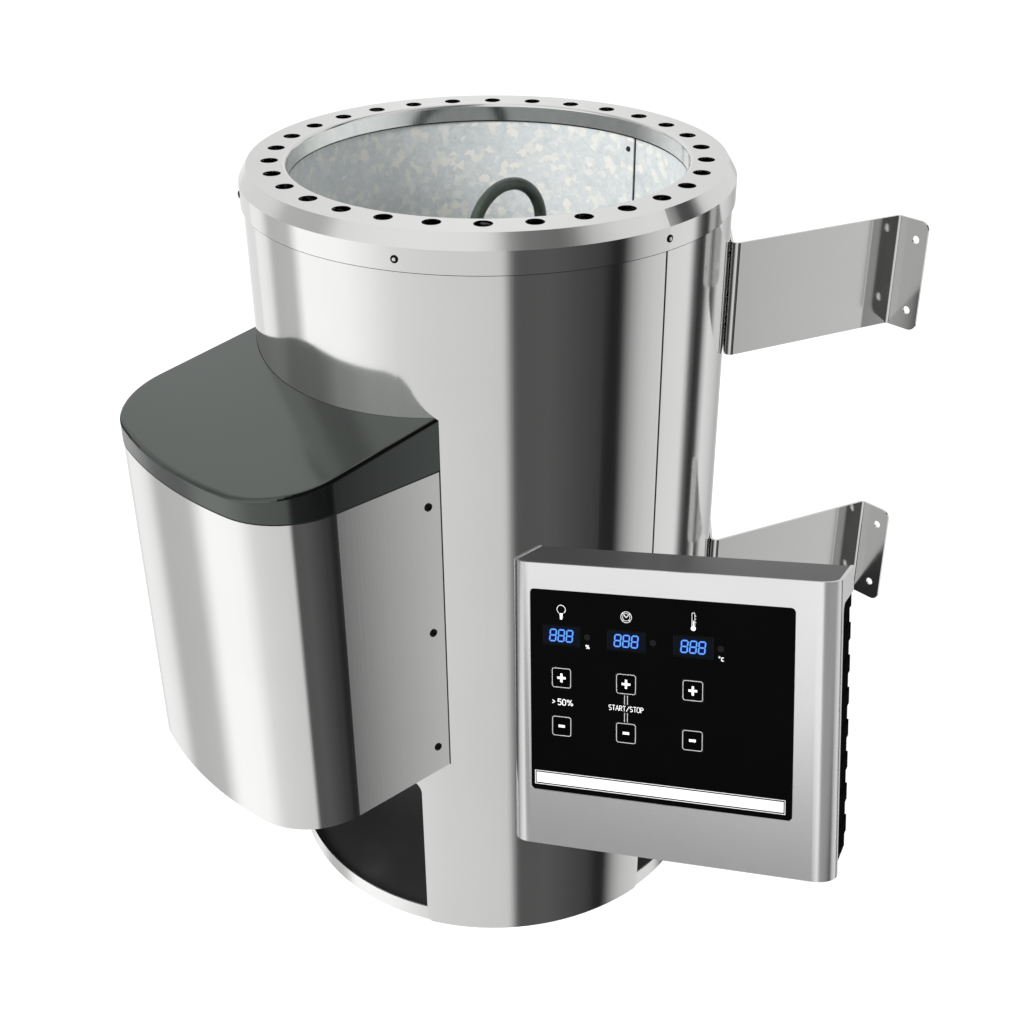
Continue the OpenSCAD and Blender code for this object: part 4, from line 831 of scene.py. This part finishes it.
HALF_FLOOR, FLOOR_Z = 12.0, -0.5 * MM
WHITE_SHARE, WHITE_LIGHT = 0.6, 1.45
floor_mesh = bpy.data.meshes.new("floor")
floor_mesh.from_pydata(
    [(x, y, FLOOR_Z) for x, y in bar(-HALF_FLOOR, -HALF_FLOOR, HALF_FLOOR, HALF_FLOOR)],
    [], [(0, 1, 2, 3)])
floor = bpy.data.objects.new("floor", floor_mesh)
bpy.context.scene.collection.objects.link(floor)
pale = Finish("pale_floor")
pale_shader = pale.node("ShaderNodeBsdfDiffuse", {"Color": grey(0.86)})
white_shader = pale.node("ShaderNodeEmission", {"Color": grey(1.0), "Strength": WHITE_LIGHT})
seen = pale.node("ShaderNodeLightPath", out="Is Camera Ray")
pale.node("ShaderNodeOutputMaterial", {"Surface": pale.node(
    "ShaderNodeMixShader", {0: seen * WHITE_SHARE, 1: pale_shader, 2: white_shader})})
floor_mesh.materials.append(pale.material)
floor.visible_glossy = False

# ---- Light ----

# Panels round the stove as they show in the steel: (direction in degrees, brightness)
PANELS = [
    (-180, 0.94), (-172, 0.94), (-166, 0.86), (-159.5, 0.50), (-149, 0.52), (-143.5, 0.53),
    (-136.5, 1.09), (-111, 1.05), (-98, 0.93), (-86, 0.78), (-72, 0.725),
    (-35.3, 0.66), (-30.3, 0.09), (-14, 0.098), (0, 0.072), (12, 0.05), (17.5, 0.018),
    (22, 0.018), (28.5, 0.36), (34, 0.54), (43, 0.67), (54, 0.76), (65, 0.79), (70.5, 0.12),
    (74.5, 0.03), (79.5, 0.05), (84, 0.54), (88, 0.78), (98, 0.67), (112, 0.46), (150, 0.88),
    (166, 0.80)]
# The same above eye level, as they show in the ring's flat and slanted edge
HIGH_PANELS = [
    (-180, 0.74), (-158, 0.74), (-152, 0.66), (-146, 0.49), (-126, 0.46), (-121, 0.58),
    (-116, 0.77), (-108, 0.81), (-75, 0.85), (-50, 0.83), (-41, 0.77), (-36, 0.62), (-30, 0.30),
    (-23, 0.19), (-6, 0.155), (1, 0.22), (11, 0.54), (24, 0.73), (47, 0.80), (49.5, 0.66),
    (52, 0.42), (57.5, 0.07), (64.5, 0.07), (68.5, 0.26), (72, 0.68), (80, 0.75), (130, 0.75),
    (141, 0.87), (149, 0.74), (155, 0.89), (163, 0.90), (170, 0.75)]
# Patches of one grey before the panels, as the control unit's cover shows them: a dark one
# low in front, a bright one above it and a middle grey one level at the right. Each has the
# four edges of its soft borders, in degrees and in height of the direction, and its grey.
PATCHES = [
    ((-112, -98, -62, -48), (-0.27, -0.17, -0.07, 0.0), 0.15),
    ((-112, -98, -42, -34), (-0.07, 0.0, 0.22, 0.32), 1.0),
    ((-40, -30, 40, 50), (-0.20, -0.12, 0.10, 0.20), 0.34)]
# A ramp holds colours up to 1 only, so the panels are scaled down in it
BRIGHTEST = 1.25
AMBIENT = grey(0.41)

studio = bpy.data.worlds.new("studio")
bpy.context.scene.world = studio
sky = Tree(studio)
direction = sky.node("ShaderNodeTexCoord", out="Generated")
east, north, height = (sky.node("ShaderNodeSeparateXYZ", {"Vector": direction}, out=axis)
                       for axis in "XYZ")
bearing = north.math("ARCTAN2", north, east) / (2 * math.pi) + 0.5
low_light, high_light = (
    sky.node("ShaderNodeValToRGB", {"Fac": bearing},
             stops=[((turn + 180) / 360, tone / BRIGHTEST) for turn, tone in panels]) * BRIGHTEST
    for panels in (PANELS, HIGH_PANELS))
glossy = sky.mix(height.step(-0.22, -0.08), low_light, high_light)
degrees = bearing * 360 - 180
for turns, heights, tone in PATCHES:
    glossy = sky.mix(degrees.within(turns) * height.within(heights), glossy, grey(tone))
is_camera = sky.node("ShaderNodeLightPath", out="Is Camera Ray")
is_glossy = sky.node("ShaderNodeLightPath", out="Is Glossy Ray")
light = sky.mix(is_camera, sky.mix(is_glossy, AMBIENT, glossy), grey(1.0))
sky.node("ShaderNodeOutputWorld", {"Surface": sky.node(
    "ShaderNodeBackground", {"Color": light, "Strength": 1.0})})


def soft_box(name, place, side, power):
    """Square lamp aimed at the stove's middle, which itself shows in nothing."""
    aim = Vector((0, 0, 0.25))
    data = bpy.data.lights.new(name, "AREA")
    data.shape = "SQUARE"
    data.size = side
    data.energy = power
    lamp = bpy.data.objects.new(name, data)
    lamp.location = place
    lamp.rotation_euler = (aim - Vector(place)).to_track_quat("-Z", "Y").to_euler()
    lamp.visible_glossy = False
    lamp.visible_camera = False
    bpy.context.scene.collection.objects.link(lamp)


soft_box("key_light", (-0.1, -2.1, 1.9), 1.4, 82.0)
soft_box("top_light", (0.1, 0.2, 2.6), 1.8, 10.0)

bpy.context.scene.view_settings.view_transform = "Standard"
